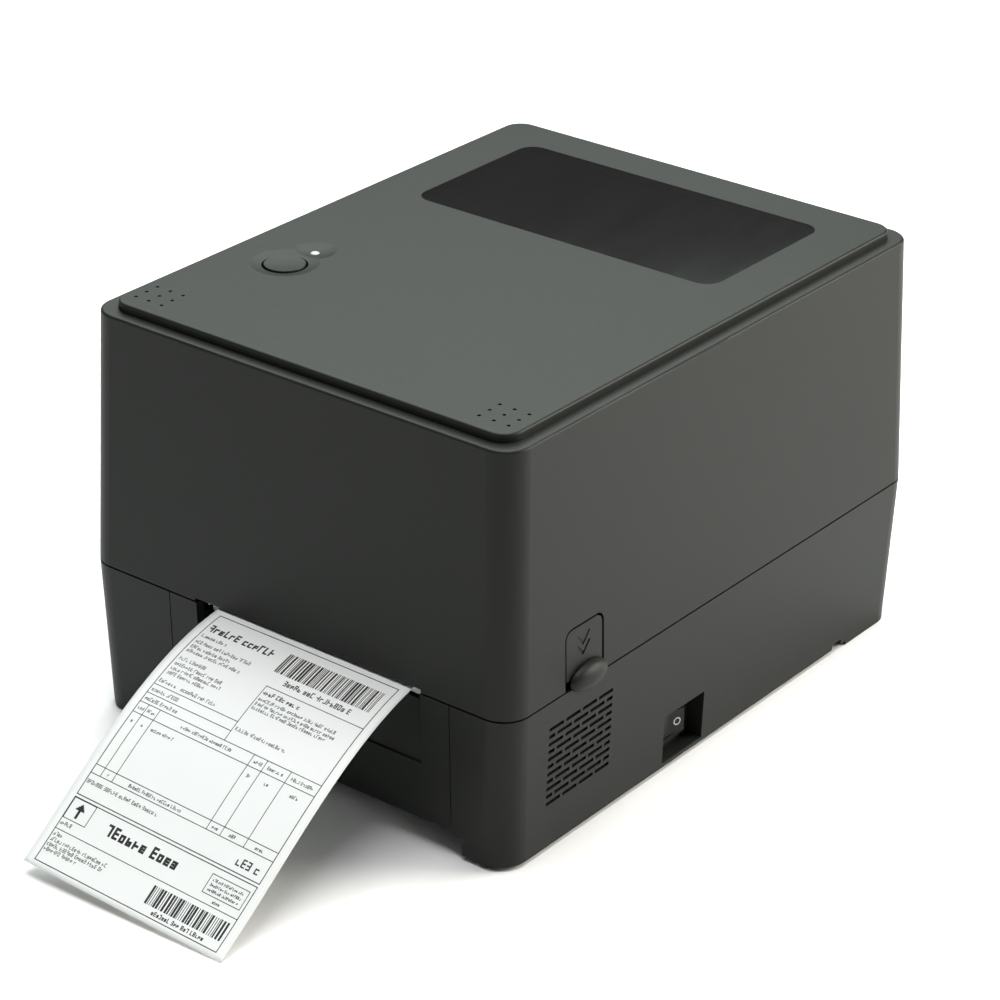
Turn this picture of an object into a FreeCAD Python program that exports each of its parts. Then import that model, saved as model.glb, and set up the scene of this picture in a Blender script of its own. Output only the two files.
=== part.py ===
import FreeCAD, Part
import math
import os
import re

import Sketcher
from FreeCAD import Placement, Rotation, Vector

# Desktop thermal label printer, built as a lower housing and a cover that hinges up at the rear.
# Millimetres. +Z is up, +X is to the printer's right seen from the front, and the front faces -Y.
# The origin is on the desk, under the middle of the housing.

SIZES = {
    # housing outline at the seam between the base and the cover
    "outline_width": 222.0, "outline_depth": 285.0, "outline_corner": 12.0, "wall": 3.0,
    "seam_level": 69.5, "seam_gap": 0.8, "base_slope": 2.0, "cover_slope": 1.7,
    "skirt_bottom": 2.0, "heel_bottom": 0.3, "heel_front": 102.0, "floor_bottom": 9.9, "floor_thick": 2.5,
    "rim_top": 182.3, "plateau_top": 186.1, "plateau_width": 203.0, "plateau_depth": 267.0,
    "plateau_corner": 9.0, "edge_round": 1.2,
    # top panel: window, feed button, status light and dot groups
    "window_width": 156.0, "window_depth": 82.0, "window_corner": 8.0, "window_back": 71.5,
    "window_thick": 1.9, "window_ledge": 4.0,
    "feed_side": -72.3, "feed_back": -60.0, "feed_radius": 8.8, "feed_gap": 0.9, "feed_drop": 0.2,
    "dish_radius": 14.5, "dish_deep": 1.6,
    "lamp_side": -71.0, "lamp_back": -42.5, "lamp_radius": 2.0, "lamp_dish_radius": 9.0,
    "dot_radius": 0.8, "dot_deep": 1.2, "dot_side": 88.0, "dot_back": -118.2,
    "dot_pitch_side": 7.0, "dot_pitch_back": 6.3,
    # front panel with its label chute
    "panel_left": -65.3, "panel_right": 81.7, "panel_bottom": 14.9, "panel_gap": 0.45,
    "chute_left": -50.8, "chute_right": 67.5, "chute_lip": 37.2, "chute_crest": 63.5,
    "slot_top": 71.2, "front_cut_half": 86.6,
    # side features
    "latch_back": -94.5, "latch_wide": 25.0, "latch_top": 95.9, "latch_gap": 1.0,
    "latch_travel": 4.0, "lobe_level": 72.0, "lobe_deep": 4.6, "lobe_wide": 23.0, "lobe_tall": 12.0,
    "vent_front": -116.2, "vent_length": 9.3, "vent_pitch": 10.7, "vent_top": 57.7,
    "vent_row_pitch": 3.43, "vent_tall": 1.6,
    "recess_front": -36.5, "recess_back": -8.5, "recess_bottom": 3.9, "recess_top": 26.2,
    "recess_floor_side": 101.0, "switch_back": -23.0, "switch_level": 14.2,
    # media path
    "media_centre": 12.0, "media_width": 101.6, "web_thick": 0.2,
    "roll_back": 70.0, "roll_level": 88.0, "roll_radius": 58.0, "core_radius": 14.5, "core_bore": 12.7,
    "platen_back": -124.0, "platen_level": 60.5, "platen_radius": 8.3, "platen_half": 57.0,
    "platen_shaft_radius": 3.0, "shaft_clearance": 0.05, "web_level": 69.1,
    "exit_back": -141.0, "exit_level": 70.0, "exit_pitch": 9.6, "exit_skew": 7.4,
    "strip_bend": 0.0101, "strip_straight": 98.6, "strip_length": 132.6,
    "guide_right": 63.3, "guide_left": -39.3, "guide_thick": 2.5, "guide_travel": 7.0,
    "guide_foot_front": 26.0, "guide_foot_back": 40.0, "guide_pinion_back": 33.0, "guide_pinion_radius": 4.0,
    # drive
    "gear_module": 1.0, "gear_side": -68.0, "gear_wide": 6.0,
    "platen_teeth": 24, "idler_teeth": 36, "motor_teeth": 12, "gear_play": 0.35,
    "idler_fall": 50.0, "motor_fall": -10.0, "motor_can": 42.0, "motor_long": 29.0,
    # hinge
    "hinge_back": 141.3, "hinge_level": 69.5, "knuckle_radius": 3.0, "hinge_pin_radius": 1.25,
    "hinge_side": 78.0, "hinge_wide": 34.0, "knuckle_long": 10.0,
    # ribbon mechanism and print head
    "supply_back": -18.0, "supply_level": 132.0, "supply_radius": 32.0,
    "takeup_back": -92.0, "takeup_level": 138.0, "takeup_radius": 20.0,
    "spindle_radius": 12.0, "journal_radius": 4.0, "ribbon_half": 55.0,
    "plate_left": -62.0, "plate_right": 84.0, "plate_thick": 2.0, "bridge_top": 176.0,
    "takeup_teeth": 40, "ribbon_motor_teeth": 12,
    "head_pivot_back": -92.0, "head_pivot_level": 84.0, "head_bottom": 69.7, "head_half": 57.0,
}

doc = FreeCAD.newDocument("label_printer")
sheet = doc.addObject("Spreadsheet::Sheet", "Sizes")
for row, (alias, number) in enumerate(SIZES.items(), start=1):
    sheet.set(f"A{row}", alias)
    sheet.set(f"B{row}", str(number))
    sheet.setAlias(f"B{row}", alias)
doc.recompute()

SUB_PARTS = []
FAR = 400.0  # longer than the printer, for cutters that run right through it


# ---------------------------------------------------------------- helpers

def linked(text):
    """An expression in which every alias is written as a cell of the sheet."""
    return re.sub(r"[a-z_]{3,}", lambda word: "Sizes." + word[0] if word[0] in SIZES else word[0], str(text))


def value(text):
    """The number that an expression on the sheet stands for."""
    return float(sheet.evalExpression(linked(text)))


def bind(thing, **sizes):
    for name, text in sizes.items():
        thing.setExpression(name, linked(text))


def put(thing, x="0", y="0", z="0"):
    for axis, text in zip("xyz", (x, y, z)):
        thing.setExpression(f".Placement.Base.{axis}", linked(text))


def block(name, x, y, z):
    """A box between a low and a high expression on each axis."""
    box = doc.addObject("Part::Box", name)
    for size_name, (low, high) in zip(("Length", "Width", "Height"), (x, y, z)):
        bind(box, **{size_name: f"({high}) - ({low})"})
    put(box, x[0], y[0], z[0])
    return box


TURNS = {"x": Rotation(Vector(0, 1, 0), 90), "y": Rotation(Vector(1, 0, 0), -90), "z": Rotation()}


def rod(name, radius, along, start, end, x="0", y="0", z="0"):
    """A cylinder along one axis from start to end, centred on the other two coordinates."""
    place = {"x": x, "y": y, "z": z}
    place[along] = start
    cylinder = doc.addObject("Part::Cylinder", name)
    cylinder.Placement = Placement(Vector(), TURNS[along])
    bind(cylinder, Radius=radius, Height=f"({end}) - ({start})")
    put(cylinder, **place)
    return cylinder


def fuse(name, *things):
    union = doc.addObject("Part::MultiFuse", name)
    union.Shapes = list(things)
    return union


def group(name, *things):
    """Separate solids kept in one sub-part, such as four equal screws."""
    compound = doc.addObject("Part::Compound", name)
    compound.Links = list(things)
    return compound


def cut(name, base, *tools):
    result = doc.addObject("Part::Cut", name)
    result.Base = base
    result.Tool = tools[0] if len(tools) == 1 else group(name + "_tools", *tools)
    return result


def common(name, first, second):
    result = doc.addObject("Part::Common", name)
    result.Base, result.Tool = first, second
    return result


def round_edges(name, base, radius, wanted):
    """Fillet the edges of a feature that the test picks."""
    doc.recompute()
    rounded = doc.addObject("Part::Fillet", name)
    rounded.Base = base
    size = value(radius)
    picked = [i for i, edge in enumerate(base.Shape.Edges, start=1) if wanted(edge)]
    rounded.Edges = [(i, size, size) for i in picked]
    return rounded


def mirror(name, thing):
    """The same piece on the other side of the printer."""
    image = doc.addObject("Part::Mirroring", name)
    image.Source = thing
    image.Normal = Vector(1, 0, 0)
    return image


def plane_of(body, role):
    return next(plane for plane in body.Origin.OriginFeatures if plane.Role == role)


def new_sketch(body, name, role="XY_Plane"):
    sketch = body.newObject("Sketcher::SketchObject", name)
    sketch.AttachmentSupport = [(plane_of(body, role), "")]
    sketch.MapMode = "FlatFace"
    return sketch


def closed_outline(sketch, points):
    """Straight lines through the points and back to the first, joined end to end."""
    count = len(points)
    for i in range(count):
        sketch.addGeometry(Part.LineSegment(points[i], points[(i + 1) % count]))
    for i in range(count):
        sketch.addConstraint(Sketcher.Constraint("Coincident", i, 2, (i + 1) % count, 1))


def centred_rectangle(sketch, width, depth):
    x, y = value(width) / 2, value(depth) / 2
    closed_outline(sketch, [Vector(-x, -y), Vector(x, -y), Vector(x, y), Vector(-x, y)])
    for line, kind in enumerate(("Horizontal", "Vertical", "Horizontal", "Vertical")):
        sketch.addConstraint(Sketcher.Constraint(kind, line))
    sketch.addConstraint(Sketcher.Constraint("Symmetric", 0, 1, 2, 1, -1, 1))
    for line, kind, text in ((0, "DistanceX", width), (1, "DistanceY", depth)):
        index = sketch.addConstraint(Sketcher.Constraint(kind, line, 1, line, 2, value(text)))
        sketch.setExpression(f"Constraints[{index}]", linked(text))


def upright(edge):
    return len(edge.Vertexes) == 2 and abs(edge.Vertexes[0].Z - edge.Vertexes[1].Z) > 1.0


def rounded_block(name, width, depth, corner, low, high, slope="0", downward=False):
    """A rectangular block with rounded upright corners that narrows away from its sketch."""
    body = doc.addObject("PartDesign::Body", name)
    outline = new_sketch(body, name + "_outline")
    centred_rectangle(outline, width, depth)
    pad = body.newObject("PartDesign::Pad", name + "_pad")
    pad.Profile = outline
    pad.Reversed = downward
    bind(pad, Length=f"({high}) - ({low})", TaperAngle=f"-({slope})")
    doc.recompute()
    corners = body.newObject("PartDesign::Fillet", name + "_corners")
    edges = [f"Edge{i}" for i, edge in enumerate(pad.Shape.Edges, start=1) if upright(edge)]
    corners.Base = (pad, edges)
    bind(corners, Radius=corner)
    outline.Visibility = False
    put(body, z=high if downward else low)
    return body


def profile_plate(name, points, start, end):
    """A flat outline in the YZ plane, padded along X."""
    body = doc.addObject("PartDesign::Body", name)
    sketch = new_sketch(body, name + "_outline", "YZ_Plane")
    closed_outline(sketch, [Vector(value(y), value(z)) for y, z in points])
    pad = body.newObject("PartDesign::Pad", name + "_pad")
    pad.Profile = sketch
    bind(pad, Length=f"({end}) - ({start})")
    put(body, x=start)
    return body


def gear(name, teeth, bore, side, back, level, phase=0.0):
    """A spur gear about X: a disc, one straight-flanked tooth repeated round it, and a bore."""
    module, wide = value("gear_module"), value("gear_wide")
    count = int(value(teeth))
    pitch = module * count / 2
    root, tip = pitch - 1.15 * module, pitch + 0.9 * module
    body = doc.addObject("PartDesign::Body", name)
    disc_sketch = new_sketch(body, name + "_disc_outline", "YZ_Plane")
    disc_sketch.addGeometry(Part.Circle(Vector(), Vector(0, 0, 1), root))
    disc_sketch.addConstraint(Sketcher.Constraint("Coincident", 0, 3, -1, 1))
    disc = body.newObject("PartDesign::Pad", name + "_disc")
    disc.Profile = disc_sketch
    bind(disc, Length="gear_wide")
    tooth_sketch = new_sketch(body, name + "_tooth_outline", "YZ_Plane")
    foot, nose = 0.82 * module, 0.34 * module
    heel = root - 0.5 * module
    corners = [(heel, -foot), (tip, -nose), (tip, nose), (heel, foot)]
    turn = math.radians(phase)
    closed_outline(tooth_sketch, [Vector(r * math.cos(turn) - s * math.sin(turn),
                                         r * math.sin(turn) + s * math.cos(turn)) for r, s in corners])
    tooth = body.newObject("PartDesign::Pad", name + "_tooth")
    tooth.Profile = tooth_sketch
    bind(tooth, Length="gear_wide")
    doc.recompute()
    ring = body.newObject("PartDesign::PolarPattern", name + "_teeth")
    ring.Originals = [tooth]
    ring.Axis = (disc_sketch, ["N_Axis"])
    ring.Angle = 360
    ring.Occurrences = count
    body.Tip = ring
    put(body, x=side, y=back, z=level)
    hole = rod(name + "_bore", bore, "x", f"({side}) - 1", f"({side}) + {wide} + 1", y=back, z=level)
    return cut(name + "_bored", body, hole)


def ring(name, outer, inner, along, start, end, **centre):
    """A plain tube."""
    return cut(name, rod(name + "_outside", outer, along, start, end, **centre),
               rod(name + "_inside", inner, along, f"({start}) - 1", f"({end}) + 1", **centre))


def sub_part(name, thing):
    thing.Label = name
    SUB_PARTS.append(thing)
    return thing


# ---------------------------------------------------------------- base

BASE_TOP = "(seam_level - seam_gap / 2)"
COVER_FOOT = "(seam_level + seam_gap / 2)"
HALF_WIDTH, HALF_DEPTH = "outline_width / 2", "outline_depth / 2"
FLOOR_TOP = "(floor_bottom + floor_thick)"
OUT = str(FAR)


def both_sides(low, high):
    """The pair of expressions for the same span on the left."""
    return f"-({high})", f"-({low})"


def vent_slots(side_low, side_high, tag):
    """Eleven rows of slots, each second row moved by half a pitch and closed by half slots."""
    slots = []
    for row in range(11):
        top = f"vent_top - {row} * vent_row_pitch"
        if row % 2 == 0:
            spans = [(f"vent_front + {i} * vent_pitch", "vent_length") for i in range(4)]
        else:
            spans = [(f"vent_front + ({i} + 0.5) * vent_pitch", "vent_length") for i in range(3)]
            spans += [("vent_front", "vent_length / 2 - 0.7"),
                      ("vent_front + 3.5 * vent_pitch", "vent_length / 2 - 0.7")]
        for i, (front, length) in enumerate(spans):
            slots.append(block(f"vent_{tag}_{row}_{i}", (side_low, side_high),
                               (front, f"{front} + {length}"), (f"{top} - vent_tall", top)))
    return slots


def hinge_notches(tag, low, high):
    """Openings in the rear wall for the hinge knuckles, one each side."""
    back = (f"{HALF_DEPTH} - 9", OUT)
    half = "hinge_wide / 2 + 0.4"
    return [block(f"{tag}_hinge_notch_{i}", (f"{sign} * hinge_side - ({half})",
                                             f"{sign} * hinge_side + {half}"),
                  back, (low, high)) for i, sign in enumerate((-1, 1))]


def base_shell():
    outer = rounded_block("base_outer", "outline_width", "outline_depth", "outline_corner",
                          "heel_bottom", BASE_TOP, "base_slope", downward=True)
    cavity = rounded_block("base_cavity", "outline_width - 2 * wall", "outline_depth - 2 * wall",
                           "outline_corner - wall", FLOOR_TOP, BASE_TOP, "base_slope", downward=True)
    underside = block("base_underside", ("-outline_width / 2 + 6", f"{HALF_WIDTH} - 6"),
                      (f"-{HALF_DEPTH} + 6", f"{HALF_DEPTH} - 6"), ("0", "floor_bottom"))
    cuts = [block("skirt_trim", ("-" + OUT, OUT), ("-" + OUT, "heel_front"), ("-9", "skirt_bottom")),
            block("skirt_notch", ("-" + OUT, OUT), ("heel_front - 11", "heel_front - 4"),
                  ("-9", "skirt_bottom + 2.6"))]
    for tag, y in (("front", ("-" + OUT, f"-{HALF_DEPTH} + 9")), ("rear", (f"{HALF_DEPTH} - 9", OUT))):
        cuts.append(block(f"base_{tag}_cut", ("-front_cut_half", "front_cut_half"), y,
                          ("0", "floor_bottom")))
    cuts.append(block("panel_opening", ("panel_left", "panel_right"), ("-" + OUT, f"-{HALF_DEPTH} + 5.6"),
                      ("panel_bottom", "seam_level")))
    cuts.append(block("panel_strip", ("panel_left", "panel_right"), ("-" + OUT, f"-{HALF_DEPTH} + 4"),
                      ("floor_bottom - 1", "panel_bottom + 1")))
    cuts += vent_slots(f"{HALF_WIDTH} - 9", OUT, "right") + vent_slots("-" + OUT, f"-{HALF_WIDTH} + 9",
                                                                       "left")
    cuts += hinge_notches("base", "seam_level - 13", "seam_level")
    # the cover's rear edge turns down into this rebate as the cover swings open
    cuts.append(block("base_rear_rebate", ("-" + OUT, OUT), (f"{HALF_DEPTH} - 1.5", OUT),
                      (f"{BASE_TOP} - 1.4", "seam_level")))
    cuts.append(block("switch_recess", ("recess_floor_side", OUT), ("recess_front", "recess_back"),
                      ("recess_bottom", "recess_top")))
    cuts.append(block("switch_hole", ("recess_floor_side - 16", OUT),
                      ("switch_back - 9.6", "switch_back + 9.6"),
                      ("switch_level - 6.4", "switch_level + 6.4")))
    for name, (x, z, wide, tall) in SOCKETS.items():
        cuts.append(block(f"{name}_hole", (f"{x} - {wide} / 2", f"{x} + {wide} / 2"),
                          (f"{HALF_DEPTH} - 9", OUT), (f"{z} - {tall} / 2", f"{z} + {tall} / 2")))
    pads = []
    for i, (sx, sy) in enumerate(CORNERS):
        x = ("front_cut_half", "outline_width / 2 - 6.6")
        y = (f"{HALF_DEPTH} - 36", f"{HALF_DEPTH} - 6.6")
        pads.append(block(f"base_pad_{i}", x if sx > 0 else both_sides(*x), y if sy > 0 else both_sides(*y),
                          ("skirt_bottom", "floor_bottom")))
    pocket_wall = block("switch_pocket", ("recess_floor_side - 2", f"{HALF_WIDTH} - 2.6"),
                        ("recess_front - 2", "recess_back + 2"), ("skirt_bottom", "recess_top + 2"))
    switch_box = block("switch_box", ("recess_floor_side - 16", "recess_floor_side"),
                       ("switch_back - 11.6", "switch_back + 11.6"),
                       ("switch_level - 8.2", "switch_level + 8.2"))
    catches = [block(f"catch_{i}", x, ("latch_back + 8.5", "latch_back + 15"), ("57", "64"))
               for i, x in enumerate((CATCH_SPAN, both_sides(*CATCH_SPAN)))]
    hollow = cut("base_hollow", outer, cavity, underside)
    whole = fuse("base_with_pads", hollow, pocket_wall, switch_box, *pads, *catches)
    return cut("base_shell_body", whole, *cuts)


CORNERS = [(-1, -1), (1, -1), (1, 1), (-1, 1)]
CATCH_SPAN = (f"{HALF_WIDTH} - 7.5", f"{HALF_WIDTH} - 3.2")
# rear sockets: centre across, centre height, width and height of the opening
SOCKETS = {"dc_socket": (-62.0, 24.0, 11.0, 11.0), "usb_socket": (-34.0, 24.0, 12.2, 11.2),
           "network_socket": (-6.0, 25.0, 16.2, 13.6)}


def front_panel():
    """The lower front moulding: a flat front, and a chute that slopes up and back to the platen."""
    outer = rounded_block("panel_outer", "outline_width", "outline_depth", "outline_corner",
                          "panel_bottom", BASE_TOP, "base_slope", downward=True)
    front = block("panel_span", ("panel_left + panel_gap", "panel_right - panel_gap"),
                  ("-" + OUT, f"-{HALF_DEPTH} + 5.2"), ("panel_bottom + panel_gap", BASE_TOP))
    face = common("panel_face", outer, front)
    chute = profile_plate("chute_block",
                          [(f"-{HALF_DEPTH} + 3.5", "panel_bottom + 2"),
                           (f"-{HALF_DEPTH} + 8.5", "panel_bottom + 2"),
                           (f"-{HALF_DEPTH} + 8.5", "chute_crest"), (f"-{HALF_DEPTH} + 3.5", "chute_crest")],
                          "chute_left", "chute_right")
    mouth = profile_plate("chute_mouth",
                          [(f"-{HALF_DEPTH} - 9", "chute_lip"), (f"-{HALF_DEPTH} + 2.4", "chute_lip"),
                           (f"-{HALF_DEPTH} + 7.4", "chute_crest - 2"),
                           (f"-{HALF_DEPTH} + 9.5", "chute_crest - 2"),
                           (f"-{HALF_DEPTH} + 9.5", "seam_level + 3"),
                           (f"-{HALF_DEPTH} - 9", "seam_level + 3")],
                          "chute_left + 0.6", "chute_right - 0.6")
    # the chute block stays clear of the base's inner front wall, which is cut away behind it
    return cut("front_panel_body", fuse("panel_and_chute", face, chute), mouth)


def base_parts():
    sub_part("base_shell", base_shell())
    sub_part("front_panel", front_panel())
    sub_part("chassis_plate", block("chassis_plate_body", ("-97", "75"), ("-112", "132"),
                                    (FLOOR_TOP, f"{FLOOR_TOP} + 1.5")))
    feet = []
    for i, (sx, sy) in enumerate(CORNERS):
        feet.append(rod(f"foot_{i}", "7", "z", "0", "skirt_bottom", f"{sx} * 95.5",
                        f"{sy} * (outline_depth / 2 - 21)"))
    sub_part("rubber_feet", group("rubber_feet_body", *feet))
    screws = []
    for i, (sx, sy) in enumerate(CORNERS):
        screws.append(rod(f"base_screw_{i}", "3", "z", f"{FLOOR_TOP} + 1.5", f"{FLOOR_TOP} + 3.5",
                          f"{sx} * 84", f"{sy} * 100 + 8"))
    sub_part("chassis_screws", group("chassis_screws_body", *screws))
    main_board()
    rear_sockets()
    power_switch()
    media_tray()
    media_sensor()


def main_board():
    """The electronics board on four standoffs under the roll bay, with its largest components."""
    board = block("main_board_sheet", ("-76", "40"), ("44", "136"), ("17", "18.6"))
    chips = [block("processor", ("-20", "-4"), ("70", "86"), ("18.6", "20.2")),
             block("motor_driver", ("-56", "-44"), ("60", "72"), ("18.6", "20.4")),
             block("memory_chip", ("6", "17"), ("66", "84"), ("18.6", "19.8"))]
    cans = [rod(f"capacitor_{i}", "2.6", "z", "18.6", "23", f"-66 + {i} * 9", "100") for i in range(3)]
    posts = [rod(f"standoff_{i}", "2.5", "z", f"{FLOOR_TOP} + 1.5", "17", f"-18 + {sx} * 52",
                 f"90 + {sy} * 40")
             for i, (sx, sy) in enumerate(CORNERS)]
    sub_part("main_board", fuse("main_board_body", board, *chips, *cans, *posts))


def rear_sockets():
    """A power inlet, a data socket and a network socket, each a can with its own opening."""
    mouth_back = f"{HALF_DEPTH} - 2.6"
    for name, (x, z, wide, tall) in SOCKETS.items():
        shell = block(f"{name}_can", (f"{x} - {wide} / 2 + 0.1", f"{x} + {wide} / 2 - 0.1"),
                      (f"{HALF_DEPTH} - 15", mouth_back), ("18.6", f"{z} + {tall} / 2 - 0.1"))
        if name == "dc_socket":
            mouth = rod("dc_mouth", "3.1", "y", f"{HALF_DEPTH} - 12", OUT, x=str(x), z=str(z))
            pin = rod("dc_pin", "1.05", "y", f"{HALF_DEPTH} - 12.5", f"{HALF_DEPTH} - 3.2", x=str(x),
                      z=str(z))
            body = fuse("dc_socket_body", cut("dc_socket_shell", shell, mouth), pin)
        elif name == "usb_socket":
            mouth = block("usb_mouth", (f"{x} - 4.3", f"{x} + 4.3"), (f"{HALF_DEPTH} - 12", OUT),
                          (f"{z} - 3.9", f"{z} + 3.9"))
            tongue = block("usb_tongue", (f"{x} - 2.8", f"{x} + 2.8"),
                           (f"{HALF_DEPTH} - 12.5", f"{HALF_DEPTH} - 4.2"),
                           (f"{z} - 1.6", f"{z} + 1.6"))
            body = fuse("usb_socket_body", cut("usb_socket_shell", shell, mouth), tongue)
        else:
            mouth = block("network_mouth", (f"{x} - 6", f"{x} + 6"), (f"{HALF_DEPTH} - 13.5", OUT),
                          (f"{z} - 4.6", f"{z} + 3.4"))
            key = block("network_key", (f"{x} - 3", f"{x} + 3"), (f"{HALF_DEPTH} - 13.5", OUT),
                        (f"{z} - 5.9", f"{z} - 4"))
            body = cut("network_socket_body", shell, mouth, key)
        sub_part(name, body)


def power_switch():
    """A rocker in a bezel at the bottom of its recess; the rocker tips about an upright axle."""
    front, back = "switch_back - 10.5", "switch_back + 10.5"
    face = "recess_floor_side"
    bezel = block("bezel_frame", (face, f"{face} + 1.6"), (front, back),
                  ("switch_level - 7.4", "switch_level + 7.4"))
    can = block("bezel_can", (f"{face} - 14", face), ("switch_back - 9.5", "switch_back + 9.5"),
                ("switch_level - 6.3", "switch_level + 6.3"))
    pocket = block("bezel_pocket", (f"{face} - 12", f"{face} + 5"),
                   ("switch_back - 8.9", "switch_back + 8.9"),
                   ("switch_level - 5.75", "switch_level + 5.75"))
    bearing = rod("bezel_bearing", "1.2 + shaft_clearance", "z", "switch_level - 9", "switch_level + 9",
                  f"{face} - 1", "switch_back")
    blades = [block(f"bezel_blade_{i}", (f"{face} - 21", f"{face} - 13"),
                    (f"switch_back - 5 + {i} * 8.5", f"switch_back - 4.2 + {i} * 8.5"),
                    ("switch_level - 1.4", "switch_level + 3.4")) for i in range(2)]
    opened = cut("bezel_open", fuse("bezel_solid", bezel, can), pocket, bearing)
    sub_part("switch_bezel", fuse("switch_bezel_body", opened, *blades))
    rocker = doc.addObject("PartDesign::Body", "rocker")
    outline = new_sketch(rocker, "rocker_outline")
    reach, half = 3.4, 8.3
    closed_outline(outline, [Vector(-5, -2.2), Vector(reach, -half), Vector(reach - 1.3, 0),
                             Vector(reach, half), Vector(-5, 2.2)])
    pad = rocker.newObject("PartDesign::Pad", "rocker_pad")
    pad.Profile = outline
    pad.Midplane = True
    bind(pad, Length="10.9")
    rocker.Placement = Placement(Vector(), Rotation(Vector(0, 0, 1), -7))
    put(rocker, f"{face} - 1", "switch_back", "switch_level")
    axle = rod("rocker_axle", "1.2", "z", "switch_level - 6.2", "switch_level + 6.2", f"{face} - 1",
               "switch_back")
    sub_part("power_rocker", fuse("power_rocker_body", rocker, axle))


def media_tray():
    """The moulded liner over the electronics: a sloping floor that follows the paper to the platen."""
    floor = profile_plate("tray_floor", [("-108", "58"), ("-108", "56"), ("24", "24.5"), ("125.5", "24.5"),
                                         ("125.5", "26.5"), ("24.4", "26.5")], "-54", "78")
    slots = [block(f"tray_slot_{i}", x, ("guide_foot_front - 0.5", "guide_foot_back + 0.5"), ("20", "30"))
             for i, x in enumerate((("guide_right + 2.3 - 2.8",
                                     "guide_right + guide_thick + guide_travel + 0.5"),
                                    ("guide_left - guide_thick - guide_travel - 0.5", "guide_left + 0.5")))]
    sub_part("media_tray", cut("media_tray_body", floor, *slots))


def media_sensor():
    """The gap sensor under the paper path, on its small board."""
    board = block("sensor_board", ("media_centre - 12", "media_centre + 12"), ("-86", "-74"),
                  ("54.9", "56.1"))
    eye = block("sensor_eye", ("media_centre - 4", "media_centre + 4"), ("-83", "-77"), ("56.1", "58.6"))
    sub_part("media_sensor", fuse("media_sensor_body", board, eye))


# ---------------------------------------------------------------- media: roll, guides, paper path

MEDIA_LOW, MEDIA_HIGH = "media_centre - media_width / 2", "media_centre + media_width / 2"


def media_roll():
    centre = {"y": "roll_back", "z": "roll_level"}
    sub_part("label_roll", ring("label_roll_body", "roll_radius", "core_radius", "x", MEDIA_LOW, MEDIA_HIGH,
                                **centre))
    sub_part("roll_core", ring("roll_core_body", "core_radius", "core_bore", "x", MEDIA_LOW, MEDIA_HIGH,
                               **centre))


def media_guides():
    """Two uprights whose hubs hold the roll's core, racked together by a pinion under the tray."""
    centre = {"y": "roll_back", "z": "roll_level"}
    spans = {"right": ("guide_right", "guide_right + guide_thick", "guide_right - 8", "guide_right"),
             "left": ("guide_left - guide_thick", "guide_left", "guide_left", "guide_left + 8")}
    racks = {"right": ("media_centre - 14", "guide_right + guide_thick", "guide_foot_front",
                       "guide_pinion_back - guide_pinion_radius - 0.3"),
             "left": ("guide_left - guide_thick", "media_centre + 14",
                      "guide_pinion_back + guide_pinion_radius + 0.3", "guide_foot_back")}
    for side, (low, high, hub_low, hub_high) in spans.items():
        plate = profile_plate(f"guide_{side}_plate",
                              [("30", "27.5"), ("102", "27.5"), ("102", "96"), ("86", "124"),
                               ("54", "124"), ("30", "84")], low, high)
        foot = block(f"guide_{side}_foot", (low, high), ("guide_foot_front", "guide_foot_back"),
                     ("19", "27.5"))
        rack_low, rack_high, rack_front, rack_back = racks[side]
        rack = block(f"guide_{side}_rack", (rack_low, rack_high), (rack_front, rack_back), ("19", "22"))
        hub = rod(f"guide_{side}_hub", "core_bore - 0.08", "x", hub_low, hub_high, **centre)
        bevel = rod(f"guide_{side}_hub_hollow", "core_bore - 3", "x", f"{hub_low} - 0.01",
                    f"{hub_high} + 0.01", **centre)
        solid = fuse(f"guide_{side}_solid", plate, foot, rack, hub)
        sub_part(f"media_guide_{side}", cut(f"media_guide_{side}_body", solid, bevel))
    sub_part("guide_pinion", rod("guide_pinion_body", "guide_pinion_radius", "z", "19", "22", "media_centre",
                                 "guide_pinion_back"))


def roll_tangent():
    """Where the paper leaves the underside of the roll on its straight way to the platen."""
    back, level = value("roll_back"), value("roll_level")
    start_y, start_z = value("platen_back") + 12, value("web_level")
    reach = value("roll_radius") + 0.35 + value("web_thick")
    far = math.hypot(back - start_y, level - start_z)
    fall = math.atan2(level - start_z, back - start_y) - math.asin(reach / far)
    length = math.sqrt(far ** 2 - reach ** 2)
    return start_y + length * math.cos(fall), start_z + length * math.sin(fall)


def strip_point(across, along):
    """A point of the printed strip outside the slot: the sheet bends about lines turned by the skew."""
    skew, pitch = math.radians(value("exit_skew")), math.radians(value("exit_pitch"))
    bend, straight = value("strip_bend"), value("strip_straight")
    bent = along * math.cos(skew) + across * math.sin(skew)
    aside = across * math.cos(skew) - along * math.sin(skew)
    ahead, fall, steps = bent, 0.0, 24
    if bent > 0:
        ahead = 0.0
        for i in range(steps):
            reach = (i + 0.5) / steps * bent
            turned = bend * (reach - reach ** 2 / (2 * straight))
            ahead += math.cos(turned) * bent / steps
            fall += math.sin(turned) * bent / steps
    right = Vector(1, 0, 0)
    forward = Vector(0, -math.cos(pitch), -math.sin(pitch))
    up = Vector(0, -math.sin(pitch), math.cos(pitch))
    ruling = right * math.cos(skew) - forward * math.sin(skew)
    onward = right * math.sin(skew) + forward * math.cos(skew)
    start = Vector(value("media_centre"), value("exit_back"), value("exit_level"))
    return start + ruling * aside + onward * ahead - up * fall


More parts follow.
